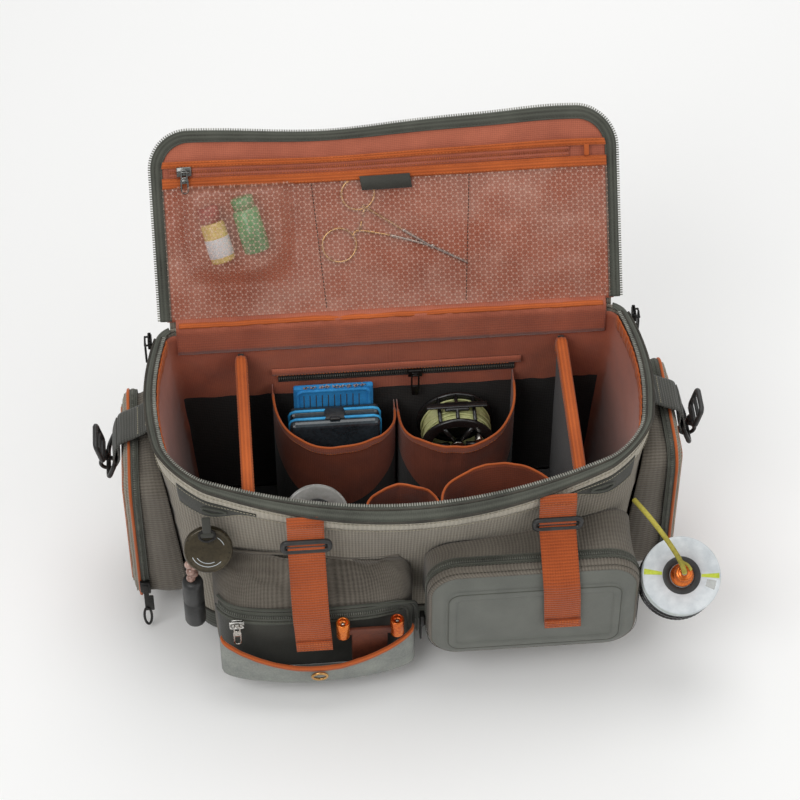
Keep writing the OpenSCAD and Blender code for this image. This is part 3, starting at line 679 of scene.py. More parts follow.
# one zip laid along a path: two tapes with turned edges, the closed coil and rows of stitches
def zipRun(name, points, facing, body, width=13, tape=tapeCloth, coil=coilDark, stands=(), ridge=2.6,
           edge=0.0, thread=darkThread, smoothed=True):
    walk = Walk(smoothPath(points, 10) if smoothed else points)
    outward = facing if callable(facing) else lambda u: Vector(facing)

    def across(u, way):
        return outward(u).cross(way)

    def section(u, v):
        point, way = walk.at(u)
        side = across(u, way).normalized()
        off = (v - 0.5) * width
        near = abs(off)
        lift = 1.0 * math.exp(-((near - ridge) / 1.0) ** 2) + (0.5 if near < ridge - 1 else 0)
        lift += edge * math.exp(-((near - width / 2) / 1.2) ** 2)
        return point + side * off + outward(u).normalized() * lift
    cols = max(12, int(walk.length / 3))
    made = [piece(name + "_tape", clothGrid(cols, 20, (walk.length, width), section), tape, body, stands,
                  thick=0.7)]
    teeth = newShape()
    lifted = Walk([p + outward(i / 60).normalized() * 1.25
                   for i, p in enumerate(walk.at(k / 60)[0] for k in range(61))])
    beadRow(teeth, lifted, 2.1, (1.2, 2.6), across, sides=6)
    made.append(piece(name + "_coil", teeth, coil, body))
    threads = newShape()
    for off in (-width * 0.36, width * 0.36):
        row = []
        for k in range(121):
            point, way = walk.at(k / 120)
            row.append(point + across(k / 120, way).normalized() * off + outward(k / 120).normalized() * 0.55)
        stitchRow(threads, Walk(row), 3.0, 0.28)
    made.append(piece(name + "_stitches", threads, thread, body))
    return made


hingeSpot = (0, 90, 247)
lidTurn = Matrix.Translation(Vector(hingeSpot)) @ Matrix.Rotation(math.radians(-35), 4, "X")
lid = {"halfWidth": 220, "length": 184, "corner": 36, "low": 3, "border": 9.5}


# the soft front edge of the lid dips left of the middle and lifts towards the right corner
def lidWave(x):
    return -7.5 * math.exp(-((x + 58) / 84) ** 2) + 4 * math.exp(-((x - 165) / 55) ** 2)


def onLid(x, y, z):
    return lidTurn @ Vector((x, y, z + lidWave(x) * (max(0, z) / lid["length"]) ** 6))


def lidHalf(z, inset=0.0):
    r, a = lid["corner"] - inset, lid["halfWidth"] - inset
    over = z - (lid["length"] - inset - r)
    return a if over <= 0 else a - r + math.sqrt(max(0, r * r - over * over))


# the lid's edge from its left foot over the top to its right foot
def lidEdge(u, inset):
    a, top, r = lid["halfWidth"] - inset, lid["length"] - inset, lid["corner"] - inset
    side, arc, run = top - r - lid["low"], r * math.pi / 2, 2 * (a - r)
    left = u * (2 * side + 2 * arc + run)
    if left <= side:
        return -a, lid["low"] + left
    left -= side
    if left <= arc:
        angle = math.pi - left / r
        return r - a + r * math.cos(angle), top - r + r * math.sin(angle)
    left -= arc
    if left <= run:
        return r - a + left, top
    left -= run
    if left <= arc:
        angle = math.pi / 2 - left / r
        return a - r + r * math.cos(angle), top - r + r * math.sin(angle)
    return a, top - r - (left - arc)


def lidSheet(cols, rows, depth, low, high, inset=0.0, left=-1.0, right=1.0):
    bm = clothGrid(cols, rows, (1, 1), lambda u, v: (0, u, v))
    cloth = bm.loops.layers.uv["cloth"]
    spots = {}
    for v in bm.verts:
        z = mix(low, high, v.co.z / mm)
        half = lidHalf(z, inset)
        x = mix(max(-half, left) if abs(left) > 1 else -half, min(half, right) if abs(right) > 1 else half,
                v.co.y / mm)
        spots[v] = (x, z)
        v.co = onLid(x, depth(x, z), z) * mm
    for face in bm.faces:
        for loop in face.loops:
            x, z = spots[loop.vert]
            loop[cloth].uv = (x * mm, z * mm)
    return bm


def makeLid():
    def outer(x, z):
        return 6.2 + 1.6 * wrinkle((x, z * 1.6, 0), 62, 21) + 0.7 * wrinkle((x, z, 0), 22, 3)
    bm = lidSheet(150, 60, outer, 2, 182, 3)
    for face in bm.faces:
        face.normal_flip()
    piece("lid_cloth", bm, ripstop, "lid", ("lid_panel",), thick=1.6)

    def inner(x, z):
        return 0.6 + 0.5 * wrinkle((x, z * 2.5, 0), 30, 5) + 0.3 * wrinkle((x, z, 0), 11, 7)
    piece("lid_lining_cloth", lidSheet(170, 70, inner, 2, 180, 5), liningCloth, "lid",
          ("lid_lining",), thick=0.9)

    # the tape that wraps the edge: distance in from the edge and depth
    section = smoothPath([(lid["border"], 0.2, 0), (5, -0.3, 0), (1, -0.2, 0), (-0.8, 1.0, 0), (-0.6, 4.2, 0),
                          (2.5, 7.0, 0), (9, 7.6, 0)], 3)

    def tape(u, v):
        inset, depth, _ = section[min(len(section) - 1, round(v * (len(section) - 1)))]
        x, z = lidEdge(u, inset)
        return onLid(x, depth + 0.4 * wrinkle((x, z, depth), 18, 2), z)
    bm = clothGrid(280, len(section) - 1, (771, 26), tape)
    for face in bm.faces:
        face.normal_flip()
    piece("lid_tape", bm, tapeCloth, "lid", ("lid_zip",), thick=0.8)
    teeth = newShape()
    edge = [onLid(lidEdge(i / 320, -2.5)[0], 1.4, lidEdge(i / 320, -2.5)[1]) for i in range(321)]
    facing = lidTurn.to_3x3() @ Vector((0, -1, 0))
    beadRow(teeth, Walk(edge), 2.3, (1.5, 3.0), lambda u, way: way.cross(facing))
    piece("lid_coil", teeth, coilGrey, "lid")
    seam = newShape()
    for inset in (7.6, 2.6):
        stitchRow(seam, Walk([onLid(lidEdge(i / 260, inset)[0], -0.8 if inset > 5 else -0.9,
                                    lidEdge(i / 260, inset)[1]) for i in range(261)]), 3.2, 0.3)
    piece("lid_tape_stitches", seam, darkThread, "lid")
    rim = newShape()
    tubeAlong(rim, [onLid(lidEdge(i / 200, 9.2)[0], 7.4, lidEdge(i / 200, 9.2)[1]) for i in range(201)], 1.1, 6)
    piece("lid_piping", rim, darkThread, "lid")


def makeLidPocket():
    window = {"low": 5, "high": 134, "bottleSpot": (-144, 96), "bottleReach": 24.5}

    def film(x, z):
        dx, dz = (x - window["bottleSpot"][0]) / 58, (z - window["bottleSpot"][1]) / 60
        bulge = window["bottleReach"] * smooth(1.9 * max(0, 1 - dx * dx) * max(0, 1 - dz * dz)) * min(1, (136 - z) / 7)
        seams = min(abs(x + 71), abs(x - 76), 30) / 30
        loose = seams * math.sin(math.pi * min(1, max(0, (z - 5) / 129))) ** 0.6
        waves = 2.2 + 2.6 * wrinkle((x * 0.7, z * 1.5, 0), 42, 31) + 1.1 * wrinkle((x + z, z - x, 0), 17, 33)
        return -2.7 - bulge - max(0, waves) * loose
    piece("window_film", lidSheet(190, 64, film, window["low"], window["high"], 8.5), windowFilm, "lid",
          ("lid_window",))
    threads = newShape()
    for top, foot in ((-71, -62), (80, 72)):
        line = [onLid(mix(foot, top, k / 30), film(mix(foot, top, k / 30), mix(8, 134, k / 30)) - 0.2,
                      mix(8, 134, k / 30)) for k in range(31)]
        stitchRow(threads, Walk(line), 3.4, 0.4)
    piece("window_stitches", threads, darkThread, "lid")

    # turned cloth above and below the pocket's zip, with the coil set back between them
    def flap(name, low, high, swell):
        def depth(x, z):
            t = (z - low) / (high - low)
            return -3.0 - swell * math.sin(math.pi * min(1, max(0, t))) ** 0.5 - 0.35 * wrinkle((x, z * 4, 0), 14, 9)
        piece(name, lidSheet(200, 8, depth, low, high, 8.8), orangeCloth, "lid", thick=0.9)
    flap("lid_flap_low", 130.5, 141.0, 1.1)
    flap("lid_flap_high", 150.6, 157, 0.9)
    facing = lidTurn.to_3x3() @ Vector((0, -1, 0))
    zipRun("lid_zip_inside", [onLid(x, -1.5, 146.4) for x in range(-204, 192, 20)], facing, "lid",
           width=11, tape=liningCloth, coil=coilOrange, stands=("lid_pocket_zip",), thread=orangeThread)
    stitches = newShape()
    for z in (132.5, 139.6, 152.2, 155.8):
        stitchRow(stitches, Walk([onLid(x, -4.15, z) for x in range(-205, 206, 10)]), 3.2, 0.3)
    piece("lid_flap_stitches", stitches, orangeThread, "lid")
    end = newShape()
    boxAt(end, (190, -4.6, 141), (195, -2.4, 152), 0.8)
    bmesh.ops.transform(end, matrix=Matrix.Translation(Vector(hingeSpot) * mm)
                        @ Matrix.Rotation(math.radians(-35), 4, "X"), verts=end.verts)
    bmesh.ops.translate(end, vec=lidTurn.to_3x3() @ Vector((0, 0, 0.9 * mm)), verts=end.verts)
    piece("lid_zip_end", end, orangeCloth, "lid")

    # a folded cloth tag with no mark on it
    def tag(u, v):
        x, z = mix(-24, 24, u), mix(121, 135, v)
        return onLid(x + 2 * (0.5 - v), -5.4 - 2.4 * math.sin(math.pi * v) - 1.2 * math.sin(3 * u), z)
    piece("lid_tag", clothGrid(24, 8, (48, 14), tag), tabCloth, "lid", thick=1.2)


makeLid()
makeLidPocket()
print("lid made")


def wallShare(x):
    return (419 + x + 184) / outlineLength


# a block of cloth that is sewn to the front wall: its face swells out between its two ends
def faceY(x, z, ends, inset, reach):
    back = wallY(x, z) - 0.9
    c = 1 - 2 * (x - ends[0] - inset) / (ends[1] - ends[0] - 2 * inset)
    return mix(back, min(-reach, back - 3), max(0, 1 - c ** 4) ** 0.25)


softPocket = {"ends": (-186, 3), "reach": 160, "levels": [
    (21.5, 18, 58), (21.2, 13, 30), (22, 9, 8), (26, 4, 2), (36, 1, 0), (60, 0, 0), (86, 0, 0), (108, 0, 0.5),
    (117, 1, 3), (124, 2, 10), (131, 4, 19), (138, 8, 28), (146, 13, 60)]}


def pocketLevel(v):
    levels = softPocket["levels"]
    s = v * (len(levels) - 1)
    k = min(int(s), len(levels) - 2)
    return [mix(a, b, s - k) for a, b in zip(levels[k], levels[k + 1])]


def makeSoftPocket():
    ends = softPocket["ends"]

    def cloth(u, v):
        z, inset, less = pocketLevel(v)
        angle = math.pi * u
        c = math.copysign(abs(math.cos(angle)) ** 0.5, math.cos(angle))
        x = mix(ends[0] + inset, ends[1] - inset, (1 - c) / 2)
        y = faceY(x, z, ends, inset, softPocket["reach"] - less)
        top = smooth((z - 112) / 14)
        crush = wrinkle((x * 0.9, y * 1.3, z), 24, 41) * 3.4 + wrinkle((x * 1.6 + y, y, z), 13, 43) * 1.6
        crush += 2.4 * abs(wrinkle((x * 0.5 + y * 0.7, z, y), 19, 47))
        return Vector((x, y + top * crush * 0.6 * math.sin(math.pi * u), z + top * (crush * 1.15 - 1.2)))
    piece("soft_pocket", clothGrid(170, 78, (250, 190), cloth), pocketClothPaintedShade, "bag", ("front_pocket",),
          thick=1.1)

    def faceRow(x, z, off=0.0):
        return Vector((x, faceY(x, z, ends, 0, softPocket["reach"]) - 0.6 - off, z))
    path = [faceRow(x, 106 + 1.5 * math.sin(x / 40)) for x in (-182, -174, -160, -135, -110, -85, -60, -40, -24)]
    path += [faceRow(-12, 102), faceRow(-5, 93), faceRow(-3.5, 80), faceRow(-3, 62), faceRow(-3, 44)]

    def facing(u):
        return Vector((0.75 * smooth((u - 0.78) / 0.15), -1, 0.18)).normalized()
    zipRun("soft_pocket_zip", path, facing, "bag", width=17, stands=("pocket_zip",), edge=1.1,
           ridge=3.2)
    piping = newShape()
    tubeAlong(piping, smoothPath([p + Vector((0, 0.5, 9.4)) for p in path[:8]]
                                 + [p + Vector((9.2, 2, 3)) for p in path[9:]], 6), 1.5, 8)
    tubeAlong(piping, smoothPath([faceRow(x, 96.5, 0.4) for x in (-184, -170, -140, -100, -60, -30, -12)], 6), 1.3, 8)
    piece("soft_pocket_piping", piping, tapeCloth, "bag")

    # a dark sheet behind the slip pocket: partly its dark fabric, partly painted shade inside the pocket
    def darkAndShadedFace(u, v):
        x, z = mix(-183, -2, u), mix(30, 97, v)
        return faceRow(x, z, 0.5 + 0.5 * wrinkle((x, z, 0), 18, 4))
    piece("slip_back", clothGrid(70, 24, (181, 67), darkAndShadedFace), tabCloth, "bag", thick=0.7)
    seam = newShape()
    edge = []
    for k in range(61):
        x = mix(-172, -10, k / 60)
        edge.append(Vector((x, wallY(x, 147) - 2.2, 147.5 - 1.2 * math.sin(k / 5))))
    tubeAlong(seam, edge, 1.3, 6)
    piece("soft_pocket_seam", seam, pocketClothPaintedShade, "bag")


def makeSlipPocket():
    settings = {"left": -181, "right": 1, "depth": 25, "foot": 28, "sag": 24, "rise": 84}
    base = -softPocket["reach"] - 1.5

    def lip(u):
        return settings["rise"] - settings["sag"] * math.sin(math.pi * u) ** 0.9

    def out(u, v):
        return settings["depth"] * math.sin(math.pi * u) ** 0.5 * mix(0.72, 1.0, v ** 0.6)

    def face(u, v):
        x = mix(settings["left"], settings["right"], u)
        z = mix(settings["foot"], lip(u), v)
        dents = 1.6 * wrinkle((x, z * 1.4, 0), 30, 51) * math.sin(math.pi * u)
        return Vector((x, base - out(u, v) - dents * 0.7, z + (1 - v) * 5 * (1 - math.sin(math.pi * u) ** 0.3)))
    piece("slip_face", clothGrid(110, 26, (215, 52), face), coatedFace, "bag",
          ("slip_pocket",), thick=1.3, inset=1)

    def bottom(u, v):
        x = mix(settings["left"], settings["right"], u)
        return Vector((x, mix(base + 1, base - out(u, 0), v), settings["foot"] - 0.5
                       + 5 * (1 - math.sin(math.pi * u) ** 0.3)))
    bm = clothGrid(80, 6, (182, 22), bottom)
    piece("slip_floor", bm, coatedFace, "bag", thick=1.2, inset=1)

    # the bound lip rolls outward, widest where it sags most
    def binding(u, v):
        x = mix(settings["left"], settings["right"], u)
        wide = 2.2 + 4.4 * math.sin(math.pi * u) ** 1.3
        angle = mix(-0.5, 3.5, v)
        return Vector((x, base - out(u, 1) - 1.0 + 2.0 * math.cos(angle) + 0.4 * wrinkle((x, v * 5, 0), 10, 5)
                       - wide * 0.25 * (1 - v),
                       lip(u) - wide * 0.5 + (wide * 0.5 + 0.8) * math.sin(angle * 0.9)
                       + 0.5 * wrinkle((x, v * 9, 0), 9, 3)))
    piece("slip_lip", clothGrid(130, 12, (200, 9), binding), orangeCloth, "bag", thick=0.9)
    ring = newShape()
    loop = [Vector((-90 + 7 * math.cos(a), base - out(0.5, 1) - 4.5 - 1.5 * math.sin(a), 50 + 6.5 * math.sin(a)))
            for a in (2 * math.pi * k / 20 for k in range(20))]
    tubeAlong(ring, loop, 1.5, 8, closed=True)
    piece("slip_ring", ring, goldSteel, "bag")


# a closed run round a rounded box, anticlockwise seen from outside: gives the two in-plane places
def boxEdge(u, low, high, r, inset=0.0):
    a, b = (high[0] - low[0]) / 2 - inset, (high[1] - low[1]) / 2 - inset
    r = max(0.5, r - inset)
    runs = [2 * (a - r), r * math.pi / 2, 2 * (b - r), r * math.pi / 2] * 2
    left = (u % 1) * sum(runs)
    corners = [(r - a, -b, 0), (a - r, r - b, 270), (a, r - b, 0), (a - r, b - r, 0), (a - r, b, 0),
               (r - a, b - r, 90), (-a, b - r, 0), (r - a, r - b, 180)]
    steps = [(1, 0), None, (0, 1), None, (-1, 0), None, (0, -1), None]
    for length, (x, z, start), step in zip(runs, corners, steps):
        if left <= length or step is steps[-1] and start == 180:
            if step:
                x, z = x + step[0] * left, z + step[1] * left
            else:
                angle = math.radians(start + 90 * left / length)
                x, z = x + r * math.cos(angle), z + r * math.sin(angle)
            break
        left -= length
    return x + (low[0] + high[0]) / 2, z + (low[1] + high[1]) / 2


pod = {"low": (14, 48), "high": (212, 166), "corner": 30, "zipY": -160, "reach": 182}


def makePod():
    low, high, r = pod["low"], pod["high"], pod["corner"]

    def gusset(u, v):
        x, z = boxEdge(u, low, high, r, 1.5 * math.sin(math.pi * v))
        y = mix(wallY(x, z) - 0.9, pod["zipY"] + 8.5, v)
        return Vector((x, y, z)) + Vector((0, 0, 1.0)) * wrinkle((x, y * 2, z), 26, 61) * math.sin(math.pi * v)
    piece("pod_gusset_cloth", clothGrid(200, 16, (560, 48), gusset, wrap=True), pocketClothPaintedShade, "bag",
          ("pod_gusset",), thick=1.4)
    spots = [boxEdge(k / 160 + 0.25, low, high, r) for k in range(161)]
    centre = ((low[0] + high[0]) / 2, (low[1] + high[1]) / 2)

    def facing(u):
        x, z = boxEdge(u + 0.25, low, high, r)
        ahead = Vector((*boxEdge(u + 0.252, low, high, r), 0)) - Vector((x, z, 0))
        return Vector((ahead.y, 0, -ahead.x)).normalized()
    ring = [Vector((x, pod["zipY"] + 4, z)) for x, z in spots]
    zipRun("pod_zip", ring, facing, "bag", width=10.5, stands=("pod_zip",), smoothed=False, edge=0.8)

    # the stitched cloth band round the shell, then the moulded shell with its raised border
    def band(u, v):
        inset = 3.2 * v ** 3
        x, z = boxEdge(u, low, high, r, inset - 0.5)
        return Vector((x, pod["zipY"] - 0.6 - 12.6 * v, z))
    piece("pod_band", clothGrid(200, 8, (560, 13), band, wrap=True), pocketClothPaintedShade, "bag", thick=1.0)
    profile = smoothPath([(2.6, -11.0, 0), (3.0, -12.6, 0), (4.6, -14.2, 0), (7.5, -15.8, 0), (11.5, -17.9, 0),
                          (14.5, -18.6, 0), (16.6, -18.9, 0), (18.4, -20.9, 0), (20.4, -21.6, 0), (23, -21.8, 0),
                          (25, -21.4, 0), (26.4, -20.4, 0), (28, -20.6, 0), (34, -21.2, 0)], 5)

    def face(u, v):
        last = len(profile) - 1
        s = v * (last + 10)
        if s <= last:
            inset, depth, _ = profile[int(s)]
            x, z = boxEdge(u, low, high, r, inset)
            return Vector((x, pod["zipY"] + depth, z))
        share = 1 - (s - last) / 10
        inset, depth, _ = profile[-1]
        x, z = boxEdge(u, low, high, r, inset)
        return Vector((centre[0] + (x - centre[0]) * share, pod["zipY"] + depth - 1.4 * (1 - share * share),
                       centre[1] + (z - centre[1]) * share))
    rows = len(profile) - 1 + 10
    piece("pod_face", clothGrid(200, rows, (560, 70), face, wrap=True), mouldedFoam, "bag",
          ("pod_shell",), divide=0)
    stitches = newShape()
    for depth, inset in ((-2.4, -1.5), (-9.8, -0.3)):
        row = [boxEdge(k / 200, low, high, r, inset) for k in range(201)]
        stitchRow(stitches, Walk([Vector((x, pod["zipY"] + depth, z)) for x, z in row]), 3.2, 0.32)
    piece("pod_stitches", stitches, darkThread, "bag")
    groove = newShape()
    row = [boxEdge(k / 200, low, high, r, 18.2) for k in range(200)]
    tubeAlong(groove, [Vector((x, pod["zipY"] - 20.9, z)) for x, z in row], 0.45, 6, closed=True)
    piece("pod_groove", groove, tapeCloth, "bag")


def makeStraps():
    strap = {"width": 34, "left": -97, "right": 135}
    nearMid = {"left": -75, "right": 113}
    hangs = {"left": [(-173.2, 128), (-175, 100), (-176, 74)],
             "right": [(-179, 164), (-185.5, 146), (-186.4, 122), (-186, 100)]}
    for side in ("left", "right"):
        x = strap[side]
        barY = wallY(nearMid[side], 224) - 8
        topY = wallY(nearMid[side], 230) - 4.5
        start = Walk(smoothPath([(x, topY + 1, 236), (x, topY - 1.6, 228), (x, barY + 0.5, 214), (x, barY - 0.5, 203),
                                 (x, barY + 1.5, 201)], 8))
        sideWay = lambda u, way: Vector((1, 0, 0))
        bm = ribbonAlong(start, strap["width"], sideWay, 34, 10)
        piece("strap_loop_" + side, bm, orangeWebbing, "bag", thick=1.6, inset=0)
        lean = 5 if side == "left" else 4
        points = [(x, barY + 0.8, 204.5), (x, barY - 3.6, 203)] + [(x, barY - 3.5, 196)]
        points += [(x + lean * (k + 1) / 4, y, z) for k, (y, z) in enumerate(hangs[side])]
        hang = Walk(smoothPath(points, 10))

        def place(u, v, hang=hang, side=side):
            point, way = hang.at(u)
            cup = 1.1 * (v - 0.5) ** 2 * 4 * smooth((u - 0.2) / 0.3)
            wave = 0.8 * wrinkle((v * 20, point.z, 0), 16, 5)
            return point + Vector(((v - 0.5) * strap["width"], -0.4 * wave + cup * 0.8, 0))
        bm = clothGrid(90, 14, (hang.length, strap["width"]), place)
        piece("strap_" + side + "_web", bm, orangeWebbing, "bag", ("strap_" + side,), thick=1.6,
              inset=0)
        foot = Walk([hang.at(1 - k / 20 * 0.09)[0] + Vector((0, -2.1, 0)) for k in range(21)])
        piece("strap_end_" + side, ribbonAlong(foot, strap["width"], sideWay, 12, 10), orangeWebbing, "bag",
              thick=1.5, inset=0)
        threads = newShape()
        for share in (0.925, 0.945, 0.985):
            point = hang.at(share)[0]
            stitchRow(threads, Walk([point + Vector((d, -3.1, 0)) for d in (-15, 0, 15)]), 2.6, 0.35)
        for share in (0.25, 0.31):
            point = start.at(share)[0]
            stitchRow(threads, Walk([point + Vector((d, -1.2, 0.4)) for d in (-15, 0, 15)]), 2.6, 0.35)
        piece("strap_stitches_" + side, threads, orangeThread, "bag")
        bar = newShape()
        frameBox = [(*boxEdge(k / 48, (x - 21.5, 195), (x + 21.5, 206), 4),) for k in range(48)]
        tubeAlong(bar, [Vector((a, barY - 2.5 - (200 - b) * 0.12, b)) for a, b in frameBox], 2.6, 8, closed=True)
        tubeAlong(bar, [Vector((x - 21, barY - 1.4, 200.8)), Vector((x + 21, barY - 1.4, 200.8))], 2.4, 8)
        piece("strap_bar_" + side, bar, acetal, "bag", ("strap_bars",) if side == "left" else ())


# dark triangular patches at the front corners, one with a slot for gear
def makeCornerTabs():
    for side, name in ((-1, "left"), (1, "right")):
        def patch(u, v):
            x = mix(142, 212, u)
            share = wallShare(x) if side > 0 else 1 - wallShare(x)
            low = mix(221, 196, smooth(u * 1.15)) + 1.5 * math.sin(u * 9)
            z = mix(low, 227, v)
            return wallPoint(share, z / 240, 2.3 + 0.9 * math.sin(math.pi * v) + 0.3 * wrinkle((x, z, 0), 12, 2))
        bm = clothGrid(40, 14, (70, 30), patch)
        if side < 0:
            bmesh.ops.reverse_faces(bm, faces=bm.faces)
        piece("corner_patch_" + name, bm, tabCloth, "bag", ("corner_tabs",) if side < 0 else (),
              thick=1.4)
        threads = newShape()
        for edgeV in (0.1, 0.9):
            stitchRow(threads, Walk([Vector(patch(k / 24, edgeV)) + Vector((0, -1.0, 0)) for k in range(25)]),
                      3.0, 0.35)
        piece("corner_stitches_" + name, threads, paleThread, "bag")
        slot = newShape()
        tubeAlong(slot, [patch(0.55 + 0.16 * math.cos(a), 0.5 + 0.17 * math.sin(a)) + Vector((0, -1.2, 0.4))
                         for a in (2 * math.pi * k / 20 for k in range(20))], 1.2, 6, closed=True)
        piece("corner_slot_" + name, slot, tapeCloth, "bag")


makeSoftPocket()
makeSlipPocket()
makePod()
makeStraps()
makeCornerTabs()
print("front pockets and straps made")


# a piece's cloth map laid flat on two of its axes, in metres
def flatMap(bm, first, second):
    cloth = bm.loops.layers.uv["cloth"]
    for face in bm.faces:
        for loop in face.loops:
            loop[cloth].uv = (loop.vert.co[first], loop.vert.co[second])
    return bm


# a pocket sewn down both sides and along its foot, with a hemmed lip that stands away
backIn = 81.7


def sewnPocket(name, x0, x1, low, high, lifts, way=1, hem=7, seed=1, paintedShadeLine=0):
    # the cloth changes from dark to terracotta along a rounded line across the pocket's face; the dark lower part is
    # painted shade low in the cup
    def face(u, v, out=0.0):
        turn = low[0] + paintedShadeLine * (1 - 0.62 * max(0, math.sin(math.pi * u)) ** 1.5)
        z = mix(low[0], turn, v / 0.4) if v < 0.4 else mix(turn, high[0], (v - 0.4) / 0.6)
        v = (z - low[0]) / (high[0] - low[0])
        flat, reach = mix(low[1], high[1], v), mix(low[2], high[2], v)
        lift = v * mix(lifts[0], lifts[1], u) * math.cos(math.pi * u) ** 2
        c = max(0, math.sin(math.pi * u))
        soft = wrinkle((x0 * 0.1 + u * 90, v * 60, seed), 15, seed) * 2.2 * math.sqrt(c) * (0.4 + v)
        fold = 1.2 * wrinkle((u * 150, v * 20, 3), 9, seed + 4) * c
        y = flat - (reach + out) * math.sqrt(max(0, c)) + (soft + fold) * 0.8
        x = mix(x0, x1, (1 - math.cos(math.pi * u)) / 2)
        return Vector((x, y * way, z + lift + 0.8 * wrinkle((u * 40, v, 1), 9, seed) * v))
    bm = clothGrid(100, 50, ((x1 - x0) * 1.45, high[0] - low[0]), lambda u, v: (u, v, 0))
    # faces low on the grid take the dark cloth, as painted shade
    for dark in bm.faces:
        dark.material_index = 1 if paintedShadeLine and dark.calc_center_median().y / mm < 0.4 else 0
    for v in bm.verts:
        v.co = face(v.co.x / mm, v.co.y / mm) * mm
    if way < 0:
        bmesh.ops.reverse_faces(bm, faces=bm.faces)
    piece(name + "_cloth", bm, [cupClothPaintedShade, darkCloth], "bag", (name,), thick=1.2, inset=0)
    run = high[0] - low[0]

    def turnOver(u, v):
        share = 1 - hem / run * (1 if paintedShadeLine else 0.6)
        p = face(u, mix(share, 1.004, v), 0.9 + 0.6 * math.sin(math.pi * v))
        return p
    bm = clothGrid(100, 6, ((x1 - x0) * 1.45, hem), turnOver)
    if way < 0:
        bmesh.ops.reverse_faces(bm, faces=bm.faces)
    piece(name + "_hem", bm, liningCloth, "bag", thick=1.0, inset=0)
    edge = newShape()
    tubeAlong(edge, [face(u / 80, 1.004, 0.5) for u in range(1, 80)], 1.3, 8)
    piece(name + "_edge", edge, orangeCloth, "bag")
    threads = newShape()
    stitchRow(threads, Walk([face(u / 80, 1 - (hem - 1) / run, 2.0) for u in range(2, 79)]), 3.0, 0.32)
    piece(name + "_stitches", threads, orangeThread, "bag")

    def foot(u, v):
        p, q = face(u, 0), Vector((mix(x0, x1, u), low[1] * way, low[0]))
        return p.lerp(q, v)
    bm = clothGrid(40, 8, (x1 - x0, low[2]), foot)
    piece(name + "_foot", bm, liningCloth, "bag", thick=1.0, inset=0)


sewnPocket("rear_cup_left", -118, 1, (14, backIn - 1, 60), (136, backIn - 1.6, 62), (28, -4), seed=3, paintedShadeLine=84)
sewnPocket("rear_cup_right", 4, 118, (14, backIn - 1, 60), (138, backIn - 1.6, 72), (-6, 28), seed=8, paintedShadeLine=84)
sewnPocket("inner_pocket_left", -38, 30, (100, 94, 26), (196, 106, 22), (-14, -14), way=-1, seed=5)
sewnPocket("inner_pocket_right", 33, 142, (100, 94, 26), (192, 106, 42), (-14, -14), way=-1, seed=12)
zipRun("rear_zip_run", [Vector((x, backIn - 0.6, 172)) for x in range(-112, 121, 29)], (0, -1, 0), "bag",
       width=12, tape=darkCloth, stands=("rear_zip",))


def makeRearFlap():
    # the lining's turned fold above the zip
    def fold(u, v):
        x = mix(-118, 126, u)
        return Vector((x, backIn - 1.6 - 1.8 * math.sin(math.pi * v) ** 0.6, mix(176.5, 186, v)
                       + 0.5 * wrinkle((x, v, 0), 20, 3)))
    piece("rear_zip_fold", clothGrid(110, 8, (244, 10), fold), liningCloth, "bag", thick=0.9)
    seam = newShape()
    stitchRow(seam, Walk([Vector((x, backIn - 3.6, 178.4)) for x in range(-114, 123, 12)]), 3.0, 0.3)
    piece("rear_zip_seam", seam, orangeThread, "bag")


makeRearFlap()


